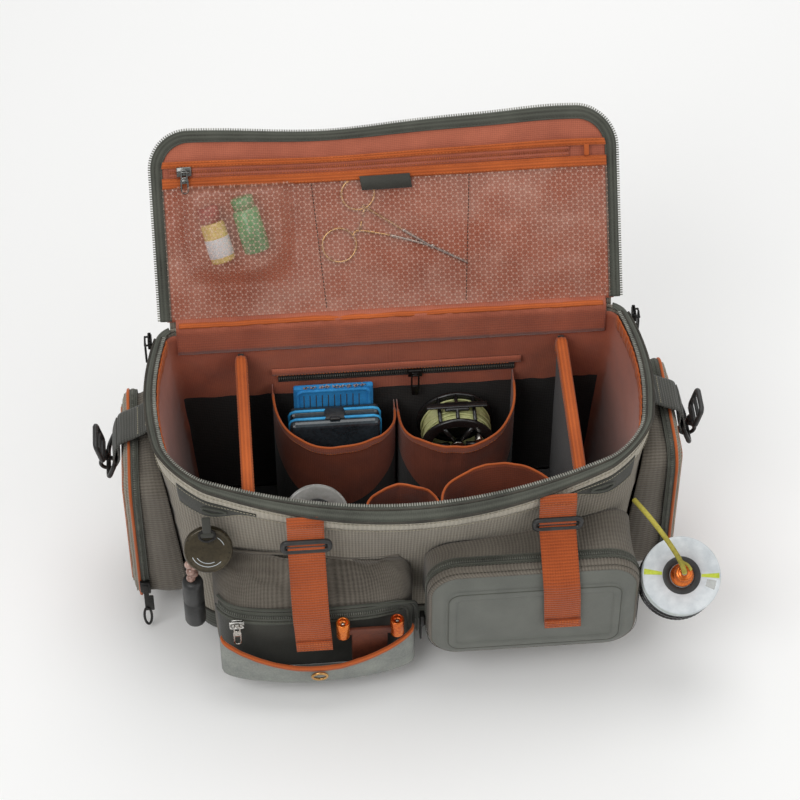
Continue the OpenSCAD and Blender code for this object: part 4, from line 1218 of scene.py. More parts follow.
# padded dividers: two crowned skins with an orange binding along the top and the front edge
def makeDivider(node, x, body, thick=8):
    outline = smoothPath([(-78, 12, 0), (20, 11.4, 0), (74, 12, 0), (78.6, 20, 0), (79, 110, 0), (79.6, 198, 0),
                          (79, 206, 0), (73, 212.4, 0), (0, 207.6, 0), (-66, 203, 0), (-80, 202, 0),
                          (-86.4, 197, 0), (-85, 186, 0), (-83, 100, 0), (-80.4, 20, 0)], 8, closed=True)
    centre = Vector((-3, 108, 0))
    count = len(outline)

    def skin(u, v):
        point = Vector(outline[round(u * count) % count])
        angle = v * 2 - 1
        share = 1 - abs(angle) ** 6 if abs(angle) < 1 else 0
        reach = 1 - abs(angle) if abs(angle) > 0.999 else 1
        share = math.sin(math.pi * v) ** 0.35 if 0 < v < 1 else 0
        p = centre.lerp(point, share * reach)
        near = (1 - share) ** 0.2 if share < 1 else 0
        puff = (thick / 2 - 0.3) * (0.72 + 0.28 * near)
        puff += 0.35 * wrinkle((p.x, p.y, x), 26, 5)
        side = 1 if v > 0.5 else -1
        return Vector((x + side * puff * min(1, near * 3 + 0.25 if abs(v - 0.5) > 0.004 else 0), p.x, p.y))
    bm = clothGrid(count, 40, (600, 300), skin, wrap=True)
    bmesh.ops.remove_doubles(bm, verts=bm.verts, dist=2e-5)
    flatMap(bm, 1, 2)
    bmesh.ops.recalc_face_normals(bm, faces=bm.faces)
    pad = piece(node + "_pad", bm, darkCloth, body, (node,))
    path = [(-82.6, 96), (-83.6, 140), (-85.2, 180), (-86.4, 196), (-84, 200.5), (-79, 202.6), (-66, 203.4), (0, 208),
            (66, 212.2), (72, 212.8), (77, 210), (79.4, 205), (79.8, 196)]
    edge = Walk(smoothPath([(0, a, b) for a, b in path], 8))
    profile = [(thick / 2 + 0.6, 9.0), (thick / 2 + 1.3, 8.0), (thick / 2 + 1.3, 2.0), (thick / 2, -0.6), (0, -1.4),
               (-thick / 2, -0.6), (-thick / 2 - 1.3, 2.0), (-thick / 2 - 1.3, 8.0), (-thick / 2 - 0.6, 9.0)]

    def wrap(u, v):
        point, way = edge.at(u)
        inward = Vector((0, way.z, -way.y)).normalized()
        s = v * (len(profile) - 1)
        k = min(int(s), len(profile) - 2)
        off = [mix(a, b, s - k) for a, b in zip(profile[k], profile[k + 1])]
        return Vector((x + off[0], point.y, point.z)) + inward * off[1]
    bm = clothGrid(130, 16, (edge.length, 26), wrap)
    bmesh.ops.recalc_face_normals(bm, faces=bm.faces)
    bound = piece(node + "_binding", bm, orangeCloth, body, thick=0.6, inset=0)
    threads = newShape()
    for side in (-1, 1):
        row = []
        for k in range(101):
            point, way = edge.at(k / 100)
            inward = Vector((0, way.z, -way.y)).normalized()
            row.append(Vector((x + side * (thick / 2 + 1.7), point.y, point.z)) + inward * 7)
        stitchRow(threads, Walk(row), 3.2, 0.35)
    piece(node + "_stitches", threads, orangeThread, body)
    return bound


makeDivider("divider_left", -147, "left_divider")
makeDivider("divider_right", 164, "right_divider")


# a plain part keeps its shape and takes a material of its own
def dress(material, *names):
    for name in names:
        for place in bpy.data.objects[name].material_slots:
            place.link = "OBJECT"
            place.material = material


dress(tabCloth, "base_panel")
dress(darkCloth, "base_board")
print("interior made")


sideBox = {"low": (-76, 32), "high": (60, 204), "corner": 22, "bandX": 248, "reach": 264}


def mirrored(side, p):
    return Vector((p[0] * side, p[1], p[2]))


def makeEnd(side, name):
    low, high, r = sideBox["low"], sideBox["high"], sideBox["corner"]

    def fit(bm):
        if side < 0:
            bmesh.ops.reverse_faces(bm, faces=bm.faces)
        return bm

    def gusset(u, v):
        y, z = boxEdge(u, low, high, r, 3.5)
        x = mix(wallX(y, z) + 0.8, sideBox["bandX"] + 0.6, v)
        puff = 1.2 * math.sin(math.pi * v) + 1.2 * wrinkle((x, y, z), 24, 71)
        centre = Vector((0, (low[0] + high[0]) / 2, (low[1] + high[1]) / 2))
        out = (Vector((0, y, z)) - centre).normalized()
        return mirrored(side, Vector((x, y, z)) + out * (puff + 2.2 * math.sin(math.pi * min(1, v * 1.2))))
    bm = fit(clothGrid(180, 12, (560, 30), gusset, wrap=True))
    piece("side_gusset_" + name, bm, pocketClothPaintedShade, "bag", ("side_pocket_" + name,), thick=1.2)
    ring = [boxEdge(k / 140 + 0.125, low, high, r) for k in range(141)]

    def facing(u):
        a, b = boxEdge(u + 0.125, low, high, r), boxEdge(u + 0.127, low, high, r)
        return Vector((0, (b[1] - a[1]), -(b[0] - a[0]))).normalized()
    zipRun("side_zip_" + name, [mirrored(side, (sideBox["bandX"] + 4.2, y, z)) for y, z in ring], facing, "bag",
           width=8.4, stands=("side_zips",) if side < 0 else (), smoothed=False, edge=0.8, ridge=1.8)

    # the outer panel: a bound cloth frame round a clear printed window
    def frameSheet(u, v):
        inset = mix(-0.3, 17, v)
        y, z = boxEdge(u, low, high, r, inset)
        x = sideBox["bandX"] + 8.6 + 6.2 * math.sin(math.pi / 2 * min(1, v * 1.6)) ** 0.8
        return mirrored(side, (x + 0.5 * wrinkle((0, y, z), 20, 4), y, z))
    piece("side_frame_" + name, fit(clothGrid(180, 10, (560, 18), frameSheet, wrap=True)), ripstop, "bag",
          thick=1.2)

    def film(u, v):
        y = mix(low[0] + 13, high[0] - 13, u)
        z = mix(low[1] + 13, high[1] - 13, v)
        swell = math.sin(math.pi * u) * math.sin(math.pi * v)
        return mirrored(side, (sideBox["bandX"] + 14.4 + 2.6 * swell ** 0.6 + 1.3 * wrinkle((0, y, z * 0.6), 22, 9)
                               * swell, y, z))
    piece("side_film_" + name, fit(clothGrid(50, 60, (110, 146), film)), sideFilm, "bag", thick=0.4)
    backing = clothGrid(30, 40, (110, 146), lambda u, v: mirrored(side, (sideBox["bandX"] + 9.5, mix(-66, 50, u),
                                                                         mix(42, 194, v))))
    piece("side_lining_" + name, fit(backing), liningCloth, "bag", thick=0.8)
    trim = newShape()
    for inset, depth, size in ((16.2, 15.3, 1.6), (-0.6, 8.7, 1.5)):
        rail = [boxEdge(k / 120, low, high, r, inset) for k in range(120)]
        tubeAlong(trim, [mirrored(side, (sideBox["bandX"] + depth, y, z)) for y, z in rail], size, 8, closed=True)
    piece("side_trim_" + name, trim, orangeCloth, "bag")
    threads = newShape()
    for inset in (3.2, 13):
        rail = [boxEdge(k / 160, low, high, r, inset) for k in range(161)]
        depth = 12.6 if inset < 5 else 15.6
        stitchRow(threads, Walk([mirrored(side, (sideBox["bandX"] + depth, y, z)) for y, z in rail]), 3.2, 0.35)
    piece("side_stitches_" + name, threads, paleThread, "bag")

    # webbing tab from the rim out over the pocket and round the ring
    top = wallX(-5, 230)
    path = smoothPath([(top + 3.4, -5, 235), (top + 4.6, -5, 224), (252, -5, 215.5), (265.6, -5, 207),
                       (266.6, -5, 190), (268.4, -5, 181.5), (271.5, -5, 180), (272.6, -5, 184), (270.2, -5, 196),
                       (267.8, -5, 204)], 8)
    tab = Walk([mirrored(side, p) for p in path])

    def web(u, v):
        point, way = tab.at(u)
        return point + Vector((0, (v - 0.5) * 38, 0)) + Vector((side * 0.5, 0, 0.5)) * wrinkle(
            (point.z, v * 30, 0), 14, 6)
    piece("tab_" + name, clothGrid(90, 14, (tab.length, 38), web), greyWebbing, "bag",
          ("web_tabs",) if side < 0 else (), thick=1.6, inset=0)
    threads = newShape()
    for share in (0.05, 0.2, 0.62):
        point = tab.at(share)[0] + mirrored(side, (1.2, 0, 0.4))
        stitchRow(threads, Walk([point + Vector((0, d, 0)) for d in (-17, 0, 17)]), 2.6, 0.4)
    piece("tab_stitches_" + name, threads, paleThread, "bag")


makeEnd(-1, "left")
makeEnd(1, "right")


def ringFrame(side):
    turn = Matrix.Translation(Vector((271, -5, 182))) @ Matrix.Rotation(math.radians(70), 4, "Y")
    loop = [boxEdge(k / 56, (0, -19.8), (22.5, 19.8), 6) for k in range(56)]
    return [mirrored(side, turn @ Vector((a, b, 0))) for a, b in loop]


rings = newShape()
for side in (-1, 1):
    tubeAlong(rings, ringFrame(side), 2.3, 12, closed=True)
piece("end_rings", rings, castZinc, "bag", ("side_rings",))


def makeHook(side, name):
    turn = Matrix.Translation(Vector((278.7, -5, 160.9))) @ Matrix.Rotation(math.radians(13), 4, "Y")

    def place(points):
        return [mirrored(side, turn @ Vector(p)) for p in points]
    metal = newShape()
    eye = [(7.4 * math.cos(a), 0, 7.4 * math.sin(a)) for a in
           (math.radians(-58 + 296 * k / 30) for k in range(31))]
    tubeAlong(metal, place(eye), lambda u: 2.3 - 0.5 * abs(2 * u - 1), 12)
    gate = [(7.6 * math.cos(math.radians(-58)), 0, 7.6 * math.sin(math.radians(-58))), (0.5, 0, -7.9),
            (7.6 * math.cos(math.radians(238)), 0, 7.6 * math.sin(math.radians(238)))]
    tubeAlong(metal, place(smoothPath(gate, 5)), 1.7, 10)
    tubeAlong(metal, place([(0, 0, 8.4), (0, 0, 10), (0, 0, 13), (0, 0, 17)]), 3.6, 16)
    tubeAlong(metal, place([(0, 0, 10), (0, 0, 12.2)]), 4.8, 16)
    tubeAlong(metal, place([(0, 0, 13.4), (0, 0, 15.4)]), 4.6, 16)
    piece("hook_metal_" + name, metal, castZinc, name + "_hook", ("hook_" + name,))
    plate = newShape()
    outer = [boxEdge(k / 64, (-16, 16), (16, 44), 5) for k in range(64)]
    tubeAlong(plate, place([(0, a * 0.86, b * 0.86 + 4.2) for a, b in outer]), 2.5, 10, closed=True)
    for z in (31, 21):
        tubeAlong(plate, place([(0, a, z) for a in (-13, -6, 0, 6, 13)]), 1.9, 10)
    tubeAlong(plate, place([(0, a, 18.2) for a in (-11, -4, 4, 11)]), 2.8, 10)
    piece("hook_plate_" + name, plate, acetal, name + "_hook")


makeHook(-1, "left")
makeHook(1, "right")


# a zip slider: a waisted body over the coil, a bridge over the top and the pin that holds the pull
def sliderShape(w, h, place):
    bm = newShape()
    boxAt(bm, (-w * 0.36, -1.5, -h / 2), (w * 0.36, 0, h / 2), 0.6)
    boxAt(bm, (-w * 0.5, -4.0, -h * 0.5), (w * 0.5, -2.6, h * 0.5), 0.6)
    boxAt(bm, (-w * 0.5, -3.4, -h * 0.5), (-w * 0.42, -0.8, h * 0.5), 0.3)
    boxAt(bm, (w * 0.42, -3.4, -h * 0.5), (w * 0.5, -0.8, h * 0.5), 0.3)
    boxAt(bm, (-1.6, -3.4, -h * 0.2), (1.6, -0.8, h * 0.2), 0.3)
    for x in (-5.6, 5.6):
        tubeAlong(bm, [(x, -3.8, 0), (x, -5.4, 0), (x, -7.3, 0)], 1.0, 8)
    tubeAlong(bm, [(-5.9, -6.8, 0), (0, -6.8, 0), (5.9, -6.8, 0)], 0.95, 10)
    bmesh.ops.transform(bm, matrix=place, verts=bm.verts)
    return bm


# its pull: a bright wire loop through the pin, then a long plate with a cord hole
def pullShape(length, w, place):
    bm = newShape()
    loop = [boxEdge(k / 40, (-2.6, -9.5), (2.6, 2.2), 2.4) for k in range(40)]
    tubeAlong(bm, [(a, -6.8, b) for a, b in loop], 0.8, 8, closed=True)
    rim = [boxEdge(k / 56, (-w / 2 + 0.9, -length + 0.9), (w / 2 - 0.9, -5.2), 3) for k in range(56)]
    tubeAlong(bm, [(a, -6.8, b) for a, b in rim], 0.95, 8, closed=True)
    boxAt(bm, (-w / 2 + 1, -7.3, -length * 0.52), (w / 2 - 1, -6.3, -6.4), 0.3)
    boxAt(bm, (-w / 2 + 1.6, -7.7, -length * 0.46), (w / 2 - 1.6, -5.9, -length * 0.34), 0.4)
    bmesh.ops.transform(bm, matrix=place, verts=bm.verts)
    return bm


def metres(turn):
    made = turn.copy()
    made.translation = turn.translation * mm
    return made


def makeSliders():
    for side, name in ((-1, "left"), (1, "right")):
        turn = Matrix.Translation(Vector((230.5, 74, 243))) @ Matrix.Rotation(math.radians(90), 4, "Z")
        if side < 0:
            turn = Matrix.Translation(Vector((-230.5, 74, 243))) @ Matrix.Rotation(math.radians(-90), 4, "Z")
        piece("main_slider_body_" + name, sliderShape(14, 9, metres(turn)), castZinc, name + "_main_slider",
              ("main_slider_" + name,))
        piece("main_pull_body_" + name, pullShape(28, 9, metres(turn)), castZinc, name + "_main_pull",
              ("main_pull_" + name,))
        bm = newShape()
        boxAt(bm, (-5, -2.5, -7), (5, 2.5, 7), 1.2)
        boxAt(bm, (-2, -3.5, -34), (3, -1.8, 4), 0.6)
        boxAt(bm, (1.5, -3.5, -34), (7, -1.5, -12), 0.8)
        bmesh.ops.transform(bm, matrix=metres(Matrix.Translation(Vector((252 * side, -80, 62)))), verts=bm.verts)
        loop = [(252 + 1.5 * math.cos(a), -82.6 - 1.2 * math.sin(a / 2), 20 + 13 * math.sin(a)) for a in
                (2 * math.pi * k / 28 for k in range(28))]
        tubeAlong(bm, [(p[0] * side + 5 * math.cos(2 * math.pi * k / 28), p[1], p[2]) for k, p in enumerate(loop)], 1.3,
                  8, closed=True)
        piece("side_slider_body_" + name, bm, castZinc, name + "_side_slider",
              ("side_slider_" + name,))
    lidPlace = metres(lidTurn @ Matrix.Translation(Vector((-190, -1.7, 147))))
    piece("lid_slider_body", sliderShape(14, 9, lidPlace), darkSteel, "lid_zip_slider", ("lid_slider",))
    piece("lid_pull_body", pullShape(21, 8, lidPlace), darkSteel, "lid_zip_pull", ("lid_pull",))
    front = metres(Matrix.Translation(Vector((-165, -162.7, 104.5))))
    piece("pocket_slider_body", sliderShape(14, 9, front), nickel, "pocket_zip_slider",
          ("pocket_slider",))
    piece("pocket_pull_body", pullShape(25, 8, front), brightSteel, "pocket_zip_pull",
          ("pocket_pull",))
    bm = newShape()
    boxAt(bm, (15, 75.9, 167.5), (29, 79.9, 176.5), 1.0)
    boxAt(bm, (18.6, 74.9, 170), (25.4, 76.2, 174), 0.5)
    loop = [boxEdge(k / 48, (18.6, 150), (25.4, 171), 3.2) for k in range(48)]
    tubeAlong(bm, [(a, 75.2, b) for a, b in loop], 0.9, 8, closed=True)
    boxAt(bm, (18.4, 74.3, 142.4), (25.6, 76.1, 156), 0.8)
    piece("rear_slider_body", bm, castZinc, "rear_zip_slider", ("rear_slider",))
    bm = newShape()
    boxAt(bm, (7.5, -160.5, 77), (12.5, -151.5, 91), 1.2)
    boxAt(bm, (7.5, -158, 54), (9.5, -150, 80), 0.8)
    piece("pod_slider_body", bm, castZinc, "pod_zip_slider", ("pod_slider",))


makeSliders()
print("ends and hardware made")


def makeBoxAndFoam():
    bm = newShape()
    boxAt(bm, (-103, 38, 16.8), (-15, 50.7, 147.8), 5, 3)
    boxAt(bm, (-103, 52.3, 16.8), (-15, 65, 147.8), 5, 3)
    boxAt(bm, (-100.5, 40, 20), (-17.5, 63, 145.4), 3, 2)
    piece("box_shell", bm, smokeBox, "bag", ("fly_box",), flat=True)
    gasket = newShape()
    for y, inset in ((46.4, -0.3), (56.8, -0.3)):
        loop = [boxEdge(k / 90, (-103, 16.8), (-15, 147.8), 6, inset) for k in range(90)]
        tubeAlong(gasket, [Vector((a, y, b)) for a, b in loop], 1.5, 8, closed=True)
    piece("box_gaskets", gasket, cyanRubber, "bag")
    latch = newShape()
    boxAt(latch, (-69, 44.5, 146.5), (-49, 59, 149.6), 1.2)
    boxAt(latch, (-64, 42, 148.6), (-54, 46, 151), 0.8)
    piece("box_latch", latch, acetal, "bag")

    foam = newShape()
    boxAt(foam, (-98, 66, 16.8), (-20, 72, 170.8), 2.2, 3)
    loop = [boxEdge(k / 80, (-94, 120), (-24, 167), 6) for k in range(80)]
    tubeAlong(foam, [Vector((a, 65.6, b)) for a, b in loop], 1.7, 8, closed=True)
    piece("foam_body", foam, blueFoam, "bag", ("foam_strip",), flat=True)
    slits = newShape()
    for x in range(-88, -28, 6):
        boxAt(slits, (x - 0.4, 65.7, 128), (x + 0.4, 66.3, 160))
    piece("foam_slits", slits, darkThread, "bag")
    hooks, tufts = newShape(), newShape()
    for k in range(9):
        x = -86 + 6.9 * k + random.uniform(-1, 1)
        bend = [(x, 65, 171.5 - 0.2 * k % 3), (x + 0.4, 64.4, 173.6), (x + 2.4, 64, 174.8), (x + 4, 64, 173.4)]
        tubeAlong(hooks, smoothPath(bend, 5), 0.5, 6)
        for _ in range(16):
            a, reach = random.uniform(0, 2 * math.pi), random.uniform(1.6, 3.2)
            foot = Vector((x + 0.5, 64.6, 172.6))
            tubeAlong(tufts, [foot, foot + Vector((math.cos(a) * reach, random.uniform(-0.6, 1.4) * reach * 0.6,
                                                   math.sin(a) * reach * 0.7))], 0.28, 4)
    piece("foam_hooks", hooks, brightSteel, "bag")
    piece("foam_flies", tufts, beadStuff, "bag")


def makeReel():
    turn = metres(Matrix.Translation(Vector((61, 71, 110))) @ Matrix.Rotation(math.radians(90), 4, "X"))
    frameShape = lathe([(0, 0.2), (8, 0.2), (38, 0.4), (38.3, 1.2), (38.3, 3.2), (37, 4.2), (30, 4.2), (28, 3.2)], 72)
    rim = lathe([(27, 33.4), (30, 33), (36, 33.2), (36.4, 34), (36.4, 36.2), (35, 37), (28, 37), (26, 36.2)], 72)
    for mesh in (rim,):
        frameShape.from_mesh(meshOf(mesh))
    for k in range(6):
        angle = math.pi / 3 * k
        way = Vector((math.cos(angle), math.sin(angle), 0))
        tubeAlong(frameShape, [way * 8 + Vector((0, 0, 35.4)), way * 18 + Vector((0, 0, 36)),
                               way * 28 + Vector((0, 0, 35.6))], 2.4, 8)
    for angle in (62, 90, 118):
        way = Vector((math.cos(math.radians(angle)), math.sin(math.radians(angle)), 0)) * 36.4
        tubeAlong(frameShape, [way + Vector((0, 0, 2)), way + Vector((0, 0, 34))], 1.9, 8)
    boxAt(frameShape, (-30, 37.4, 15), (30, 39.6, 22), 0.9)
    boxAt(frameShape, (-12, 35, 13), (12, 38.4, 24), 1.2)
    bmesh.ops.transform(frameShape, matrix=turn, verts=frameShape.verts)
    piece("reel_frame", frameShape, glossBlack, "bag", ("fly_reel",))
    line = newShape()
    path = []
    for k in range(1500):
        angle = 2 * math.pi * k / 60
        lap = k / 60
        layer = lap % 13
        z = 5.4 + 26.4 * (layer / 13 if int(lap / 13) % 2 == 0 else 1 - layer / 13)
        r = 30.6 + 1.5 * int(lap / 13) + 0.5 * wrinkle((math.cos(angle) * 9, math.sin(angle) * 9, lap), 5, 2)
        path.append(Vector((r * math.cos(angle), r * math.sin(angle), z)))
    tubeAlong(line, path, 1.05, 5)
    for loopHeight, tiltAmount in ((8, 0.3), (20, -0.25), (27, 0.4)):
        ring = []
        for k in range(48):
            angle = 2 * math.pi * k / 48
            ring.append(Vector((34 * math.cos(angle), 33.4 * math.sin(angle), loopHeight
                                + 5 * tiltAmount * math.sin(angle * 2 + loopHeight))))
        tubeAlong(line, ring, 0.95, 6, closed=True)
    bmesh.ops.transform(line, matrix=turn, verts=line.verts)
    piece("reel_line", line, lineGreen, "bag")
    knob = newShape()
    for spot, size in ((Vector((0, 0, 36.5)), 7), (Vector((20, 14, 36.5)), 3.6)):
        tubeAlong(knob, [spot, spot + Vector((0, 0, 3 if size > 5 else 9))], size, 20)
    bmesh.ops.transform(knob, matrix=turn, verts=knob.verts)
    piece("reel_knob", knob, brightSteel, "bag", round=0.6)


def meshOf(bm):
    mesh = bpy.data.meshes.new("part")
    bm.to_mesh(mesh)
    bm.free()
    return mesh


# a spool drawn along Z with its base at 0: two rimmed discs, a hub and the wound line
def spoolShapes(z, radius, hub, width, wound, bore):
    discs = newShape()
    for foot in (z, z + width - 1.8):
        ring = lathe([(bore, foot), (radius - 2.2, foot), (radius - 0.6, foot - 0.1), (radius, foot + 0.5),
                      (radius, foot + 1.3), (radius - 0.6, foot + 1.9), (radius - 2.2, foot + 1.8),
                      (bore, foot + 1.8), (bore, foot)], 72)
        discs.from_mesh(meshOf(ring))
    core = lathe([(bore, z + 1.8), (hub, z + 1.8), (hub, z + width - 1.8), (bore, z + width - 1.8)], 48)
    discs.from_mesh(meshOf(core))
    line = newShape()
    laps = 7
    profile = [(wound - 0.5, z + 1.9)]
    for k in range(laps):
        foot = z + 2.0 + (width - 4.0) * k / laps
        step = (width - 4.0) / laps
        profile += [(wound, foot + step * 0.3), (wound, foot + step * 0.7), (wound - 0.5, foot + step)]
    line.from_mesh(meshOf(lathe(profile, 60)))
    return discs, line


def makeClearSpool():
    turn = metres(Matrix.Translation(Vector((-84, -76, 145))) @ Matrix.Rotation(math.radians(48), 4, "X"))
    discs, line = spoolShapes(-5, 32, 18, 10, 20, 8)
    for bm in (discs, line):
        bmesh.ops.transform(bm, matrix=turn, verts=bm.verts)
    piece("clear_spool_discs", discs, clearPlastic, "bag", ("clear_spool",))
    piece("clear_spool_line", line, acetal, "bag")
    label = lathe([(9, 5.15), (9.5, 5.35), (19, 5.35), (19.5, 5.15)], 60, turn)
    piece("clear_spool_label", label, glossBlack, "bag")
    mark = lathe([(14.6, 5.4), (14.8, 5.5), (16.4, 5.5), (16.6, 5.4)], 60, turn)
    piece("clear_spool_ring", mark, labelPaper, "bag")


def makeToolBar():
    y = -170.4
    posts = newShape()
    for x in (-66, -15):
        ring = lathe([(0, 84), (5.8, 84), (6.5, 84.7), (6.5, 85.4), (6.5, 95), (6.5, 103.9), (6.1, 104.8), (5.4, 105),
                      (4.6, 104.6), (4.4, 103.4), (4.4, 101), (0, 101)], 40, metres(Matrix.Translation(Vector((x, y, 0)))))
        posts.from_mesh(meshOf(ring))
    piece("tool_posts", posts, anodised, "bag", ("tool_bar",))
    bar = newShape()
    boxAt(bar, (-62, y - 2.4, 86), (-19, y + 2.4, 93.4), 1.6, 3)
    boxAt(bar, (-58, y - 2, 40), (-24, y + 2, 86.5), 1.0)
    piece("tool_plate", bar, brownHide, "bag", flat=True)
    pins = newShape()
    for x in (-66, -15):
        tubeAlong(pins, [(x, y, 100.6), (x, y, 103)], 1.8, 12)
    piece("tool_pins", pins, brightSteel, "bag")


def makeRetractor():
    at = Vector((-187, -127, 172))
    turn = metres(Matrix.Translation(at) @ Matrix.Rotation(math.radians(62), 4, "X"))
    case = lathe([(0, -5.4), (19, -5.4), (22, -4.4), (23, -2), (23, 2), (22, 3.8), (20.6, 4.4), (20.2, 4.1),
                  (19.6, 4.2), (12, 5.1), (0, 5.5)], 72, turn)
    piece("retractor_case", case, oliveCase, "hung_retractor", ("retractor",))
    marks = newShape()
    for start, stop, r in ((200, 320, 15.8), (20, 60, 15.8), (210, 300, 12.2)):
        arc = [turn @ (Vector((r * math.cos(math.radians(a)), r * math.sin(math.radians(a)),
                               5.1 - (r - 12) * 0.11 + 0.1)) * mm) / mm for a in range(start, stop, 5)]
        tubeAlong(marks, arc, 0.35, 5)
    piece("retractor_marks", marks, labelPaper, "hung_retractor")
    strap = newShape()
    boxAt(strap, at + Vector((-4, -1, 18)), at + Vector((4, 3, 44)), 1.2)
    boxAt(strap, at + Vector((-6.5, -2, 18)), at + Vector((6.5, 4, 24)), 1.4)
    piece("retractor_strap", strap, tabCloth, "hung_retractor")
    loop = newShape()
    ring = [at + Vector((7.4 * math.cos(a), -1 + 2 * math.sin(a), 21 + 6 * math.sin(a)))
            for a in (2 * math.pi * k / 24 for k in range(24))]
    tubeAlong(loop, ring, 1.2, 8, closed=True)
    piece("retractor_ring", loop, castZinc, "hung_retractor")
    beads = newShape()
    for k, (dx, size) in enumerate([(-19, 4.2), (-14.5, 4.0), (-17.6, 4.8), (-15.2, 4.4), (-18.2, 4.3)]):
        spot = at + Vector((dx, -5 + (k % 2) * 1.5, -15 - 5.0 * k))
        bmesh.ops.create_uvsphere(beads, u_segments=20, v_segments=12, radius=size * mm,
                                  matrix=Matrix.Translation(spot * mm))
    piece("retractor_beads", beads, beadStuff, "hung_retractor")
    cord = newShape()
    tubeAlong(cord, smoothPath([at + Vector(p) for p in ((-12, -5, -8), (-16.4, -5.2, -12), (-17, -5, -24),
                                                         (-17, -5, -38))], 8), 1.2, 8)
    piece("retractor_cord", cord, darkThread, "hung_retractor")
    tube = lathe([(0, 0.4), (7.6, 0.4), (9.4, 1.8), (10, 4), (10, 30), (9.3, 31), (9.3, 33), (10, 34), (10, 58),
                  (9, 61.4), (6.4, 62.8), (3.2, 63), (0, 63)], 40,
                 metres(Matrix.Translation(at + Vector((-17, -5, -100)))))
    piece("retractor_tube", tube, acetal, "hung_retractor")


def makeSpools():
    turn = metres(Matrix.Translation(Vector((252, -165, 137))) @ Matrix.Rotation(math.radians(30), 4, "X"))
    discs, line = spoolShapes(-13, 37, 31, 13, 33, 6.6)
    for bm in (discs, line):
        bmesh.ops.transform(bm, matrix=turn, verts=bm.verts)
    piece("tippet_discs", discs, labelPaper, "top_spool", ("tippet_spool",))
    piece("tippet_line", line, lineYellow, "top_spool")
    hub = lathe([(11.5, 0.05), (11.8, 0.3), (17.5, 0.3), (18, 0.05)], 64, turn)
    piece("tippet_hub", hub, acetal, "top_spool")

    # plain printed bands on the label, with nothing written on them
    def band(low, high, start, stop, lift):
        def place(u, v):
            a, r = math.radians(mix(start, stop, u)), mix(low, high, v)
            return turn @ (Vector((r * math.cos(a), r * math.sin(a), lift)) * mm) / mm
        return clothGrid(40, 3, (40, 6), place)
    bands = band(18.5, 35.5, 352, 360, 0.12)
    bands.from_mesh(meshOf(band(18.5, 35.5, 166, 175, 0.12)))
    piece("tippet_band", bands, lineYellow, "top_spool")
    piece("tippet_panel", band(24, 33, 332, 348, 0.12), clearPlastic, "top_spool")
    lower, wound = newShape(), newShape()
    for z in (-27, -40):
        discs, line = spoolShapes(z, 37, 31, 13, 33, 6.6)
        lower.from_mesh(meshOf(discs))
        wound.from_mesh(meshOf(line))
    teeth = 60
    for z in (-27.0, -15.8, -40.0, -28.8):
        for k in range(teeth):
            a = 2 * math.pi * k / teeth
            boxAt(lower, (36.2, -0.9, z + 0.1), (37.1, 0.9, z + 1.7), turn=Matrix.Rotation(a, 4, "Z"))
    for bm in (lower, wound):
        bmesh.ops.transform(bm, matrix=turn, verts=bm.verts)
    piece("lower_discs", lower, glossBlack, "spare_spools", ("lower_spools",))
    piece("lower_line", wound, acetal, "spare_spools")
    knob = lathe([(0, 18), (2.6, 18), (2.8, 17.2), (5.6, 17.2), (7.2, 17), (8, 16), (8, 12.6), (7.2, 12), (7.2, 10.6),
                  (8, 10), (8, 4.4), (10.4, 3.6), (11, 2.8), (11, 0.9), (10.4, 0.4), (0, 0.4)], 48, turn)
    post = lathe([(0, 1), (5.8, 1), (5.8, -40.6), (11, -40.8), (11, -43.4), (10.2, -44), (0, -44)], 40, turn)
    knob.from_mesh(meshOf(post))
    piece("post_body", knob, anodised, "bag", ("spool_post",))
    cap = lathe([(0, 18.6), (2.2, 18.5), (2.7, 18), (2.7, 17.4)], 28, turn)
    piece("post_cap", cap, brightSteel, "bag")
    cord = newShape()
    points = [(212, -108, 183), (224, -130, 182), (236, -150, 176), (246, -166, 167), (250.5, -173, 159),
              (252, -174.5, 153)]
    tubeAlong(cord, smoothPath(points, 8), 2.5, 12)
    tubeAlong(cord, smoothPath([(244, -163, 169), (249, -168, 163), (255, -171, 160), (258, -174, 156)], 6), 1.5, 8)
    piece("post_cord", cord, cordOlive, "bag")


def makeForceps():
    metal, bows = newShape(), newShape()
    pivot, tip = (42, 61.8), (75.5, 44)
    for centre, r, neck, along in (((-47, 68), 16.2, (-27, 81), (2, 75)), ((-27, 117), 15.6, (-21, 104), (14, 80))):
        loop = [onLid(centre[0] + r * math.cos(a), -1.2, centre[1] + r * math.sin(a))
                for a in (2 * math.pi * k / 48 for k in range(48))]
        tubeAlong(bows, loop, 1.3, 10, closed=True)
        way = (Vector(neck) - Vector(centre)).normalized() * r
        foot = (centre[0] + way.x, centre[1] + way.y)
        path = [onLid(a, -1.2, b) for a, b in (foot, neck, along)]
        tubeAlong(bows, smoothPath(path, 8), lambda u: 2.0 - 0.8 * u, 8)
        toward = mix(neck[0], -24, 0.8), mix(neck[1], 92.5, 0.8)
        tubeAlong(bows, [onLid(neck[0], -1.2, neck[1]), onLid(toward[0], -1.6, toward[1])], 1.5, 8)
        path = [onLid(a, -1.2, b) for a, b in (along, pivot, tip)]
        tubeAlong(metal, smoothPath(path, 8), lambda u: 1.7 - 0.8 * u, 8)
    tubeAlong(metal, [onLid(pivot[0], -2.3, pivot[1]), onLid(pivot[0], -0.1, pivot[1])], 2.4, 16)
    for k in range(12):
        x, z = (mix(pivot[i], tip[i], 0.3 + 0.055 * k) for i in (0, 1))
        tubeAlong(metal, [onLid(x - 0.9, -1.7, z - 1.4), onLid(x + 0.9, -1.7, z + 1.4)], 0.45, 5)
    piece("forceps_bows", bows, goldSteel, "lid", ("forceps",))
    piece("forceps_jaws", metal, brightSteel, "lid")


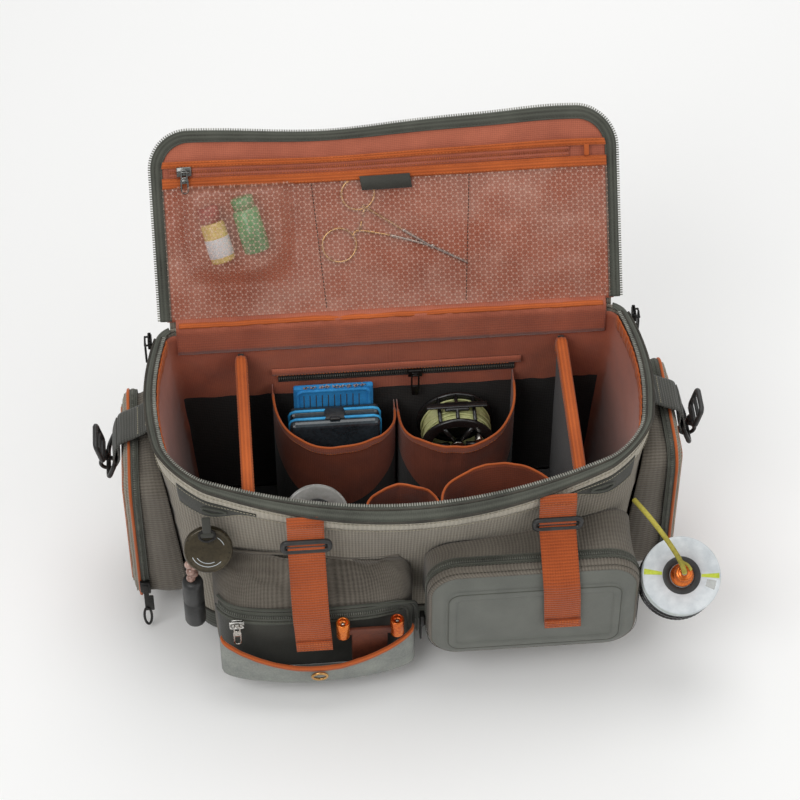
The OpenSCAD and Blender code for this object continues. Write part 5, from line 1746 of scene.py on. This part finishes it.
def makeBottle(node, x, z, r, body, cap, tilt, stuff, capStuff):
    turn = metres(lidTurn @ Matrix.Translation(Vector((x, -r - 1, z)))
                  @ Matrix.Rotation(math.radians(-tilt), 4, "Y") @ Matrix.Translation(Vector((0, 0, -body / 2))))
    glass = lathe([(0, 0), (r * 0.75, 0), (r * 0.95, 0.8), (r, 2.4), (r, body - 4), (r * 0.9, body - 1.4),
                   (r * 0.66, body), (0, body)], 40, turn)
    piece(node + "_glass", glass, stuff, "lid", (node,))
    top = lathe([(r * 0.6, body), (r * 0.84, body), (r * 0.86, body + cap - 1.2), (r * 0.7, body + cap), (0, body + cap)],
                36, turn)
    piece(node + "_cap", top, capStuff, "lid")
    wrap = lathe([(r * 1.005, 6), (r * 1.02, 6.4), (r * 1.02, body * 0.6), (r * 1.005, body * 0.6 + 0.4)], 40, turn)
    piece(node + "_wrap", wrap, stuff if node == "bottle_green" else labelPaper, "lid")


makeBoxAndFoam()
makeReel()
makeClearSpool()
makeToolBar()
makeRetractor()
makeSpools()
makeForceps()
makeBottle("bottle_yellow", -162, 80, 11.8, 40, 15, 14, yellowGlass, redCap)
makeBottle("bottle_green", -130, 90, 12.6, 44, 11, 14, greenGlass, greenGlass)
print("tackle made")


floor = bpy.data.meshes.new("floor")
ground = bmesh.new()
bmesh.ops.create_grid(ground, x_segments=1, y_segments=1, size=4)
ground.to_mesh(floor)
ground.free()
floorObject = bpy.data.objects.new("floor", floor)
floorObject.location.z = -0.0005
bpy.context.scene.collection.objects.link(floorObject)
paint, paintTree, paintSurface = newMaterial("floorPaint")
paintSurface.inputs["Base Color"].default_value = linear("#fbfbfa")
paintSurface.inputs["Roughness"].default_value = 0.9
floor.materials.append(paint)
world = bpy.data.worlds.new("studio")
world.use_nodes = True
world.node_tree.nodes["Background"].inputs["Color"].default_value = (1, 1, 1, 1)
world.node_tree.nodes["Background"].inputs["Strength"].default_value = 0.42
bpy.context.scene.world = world
bpy.context.scene.view_settings.view_transform = "Standard"
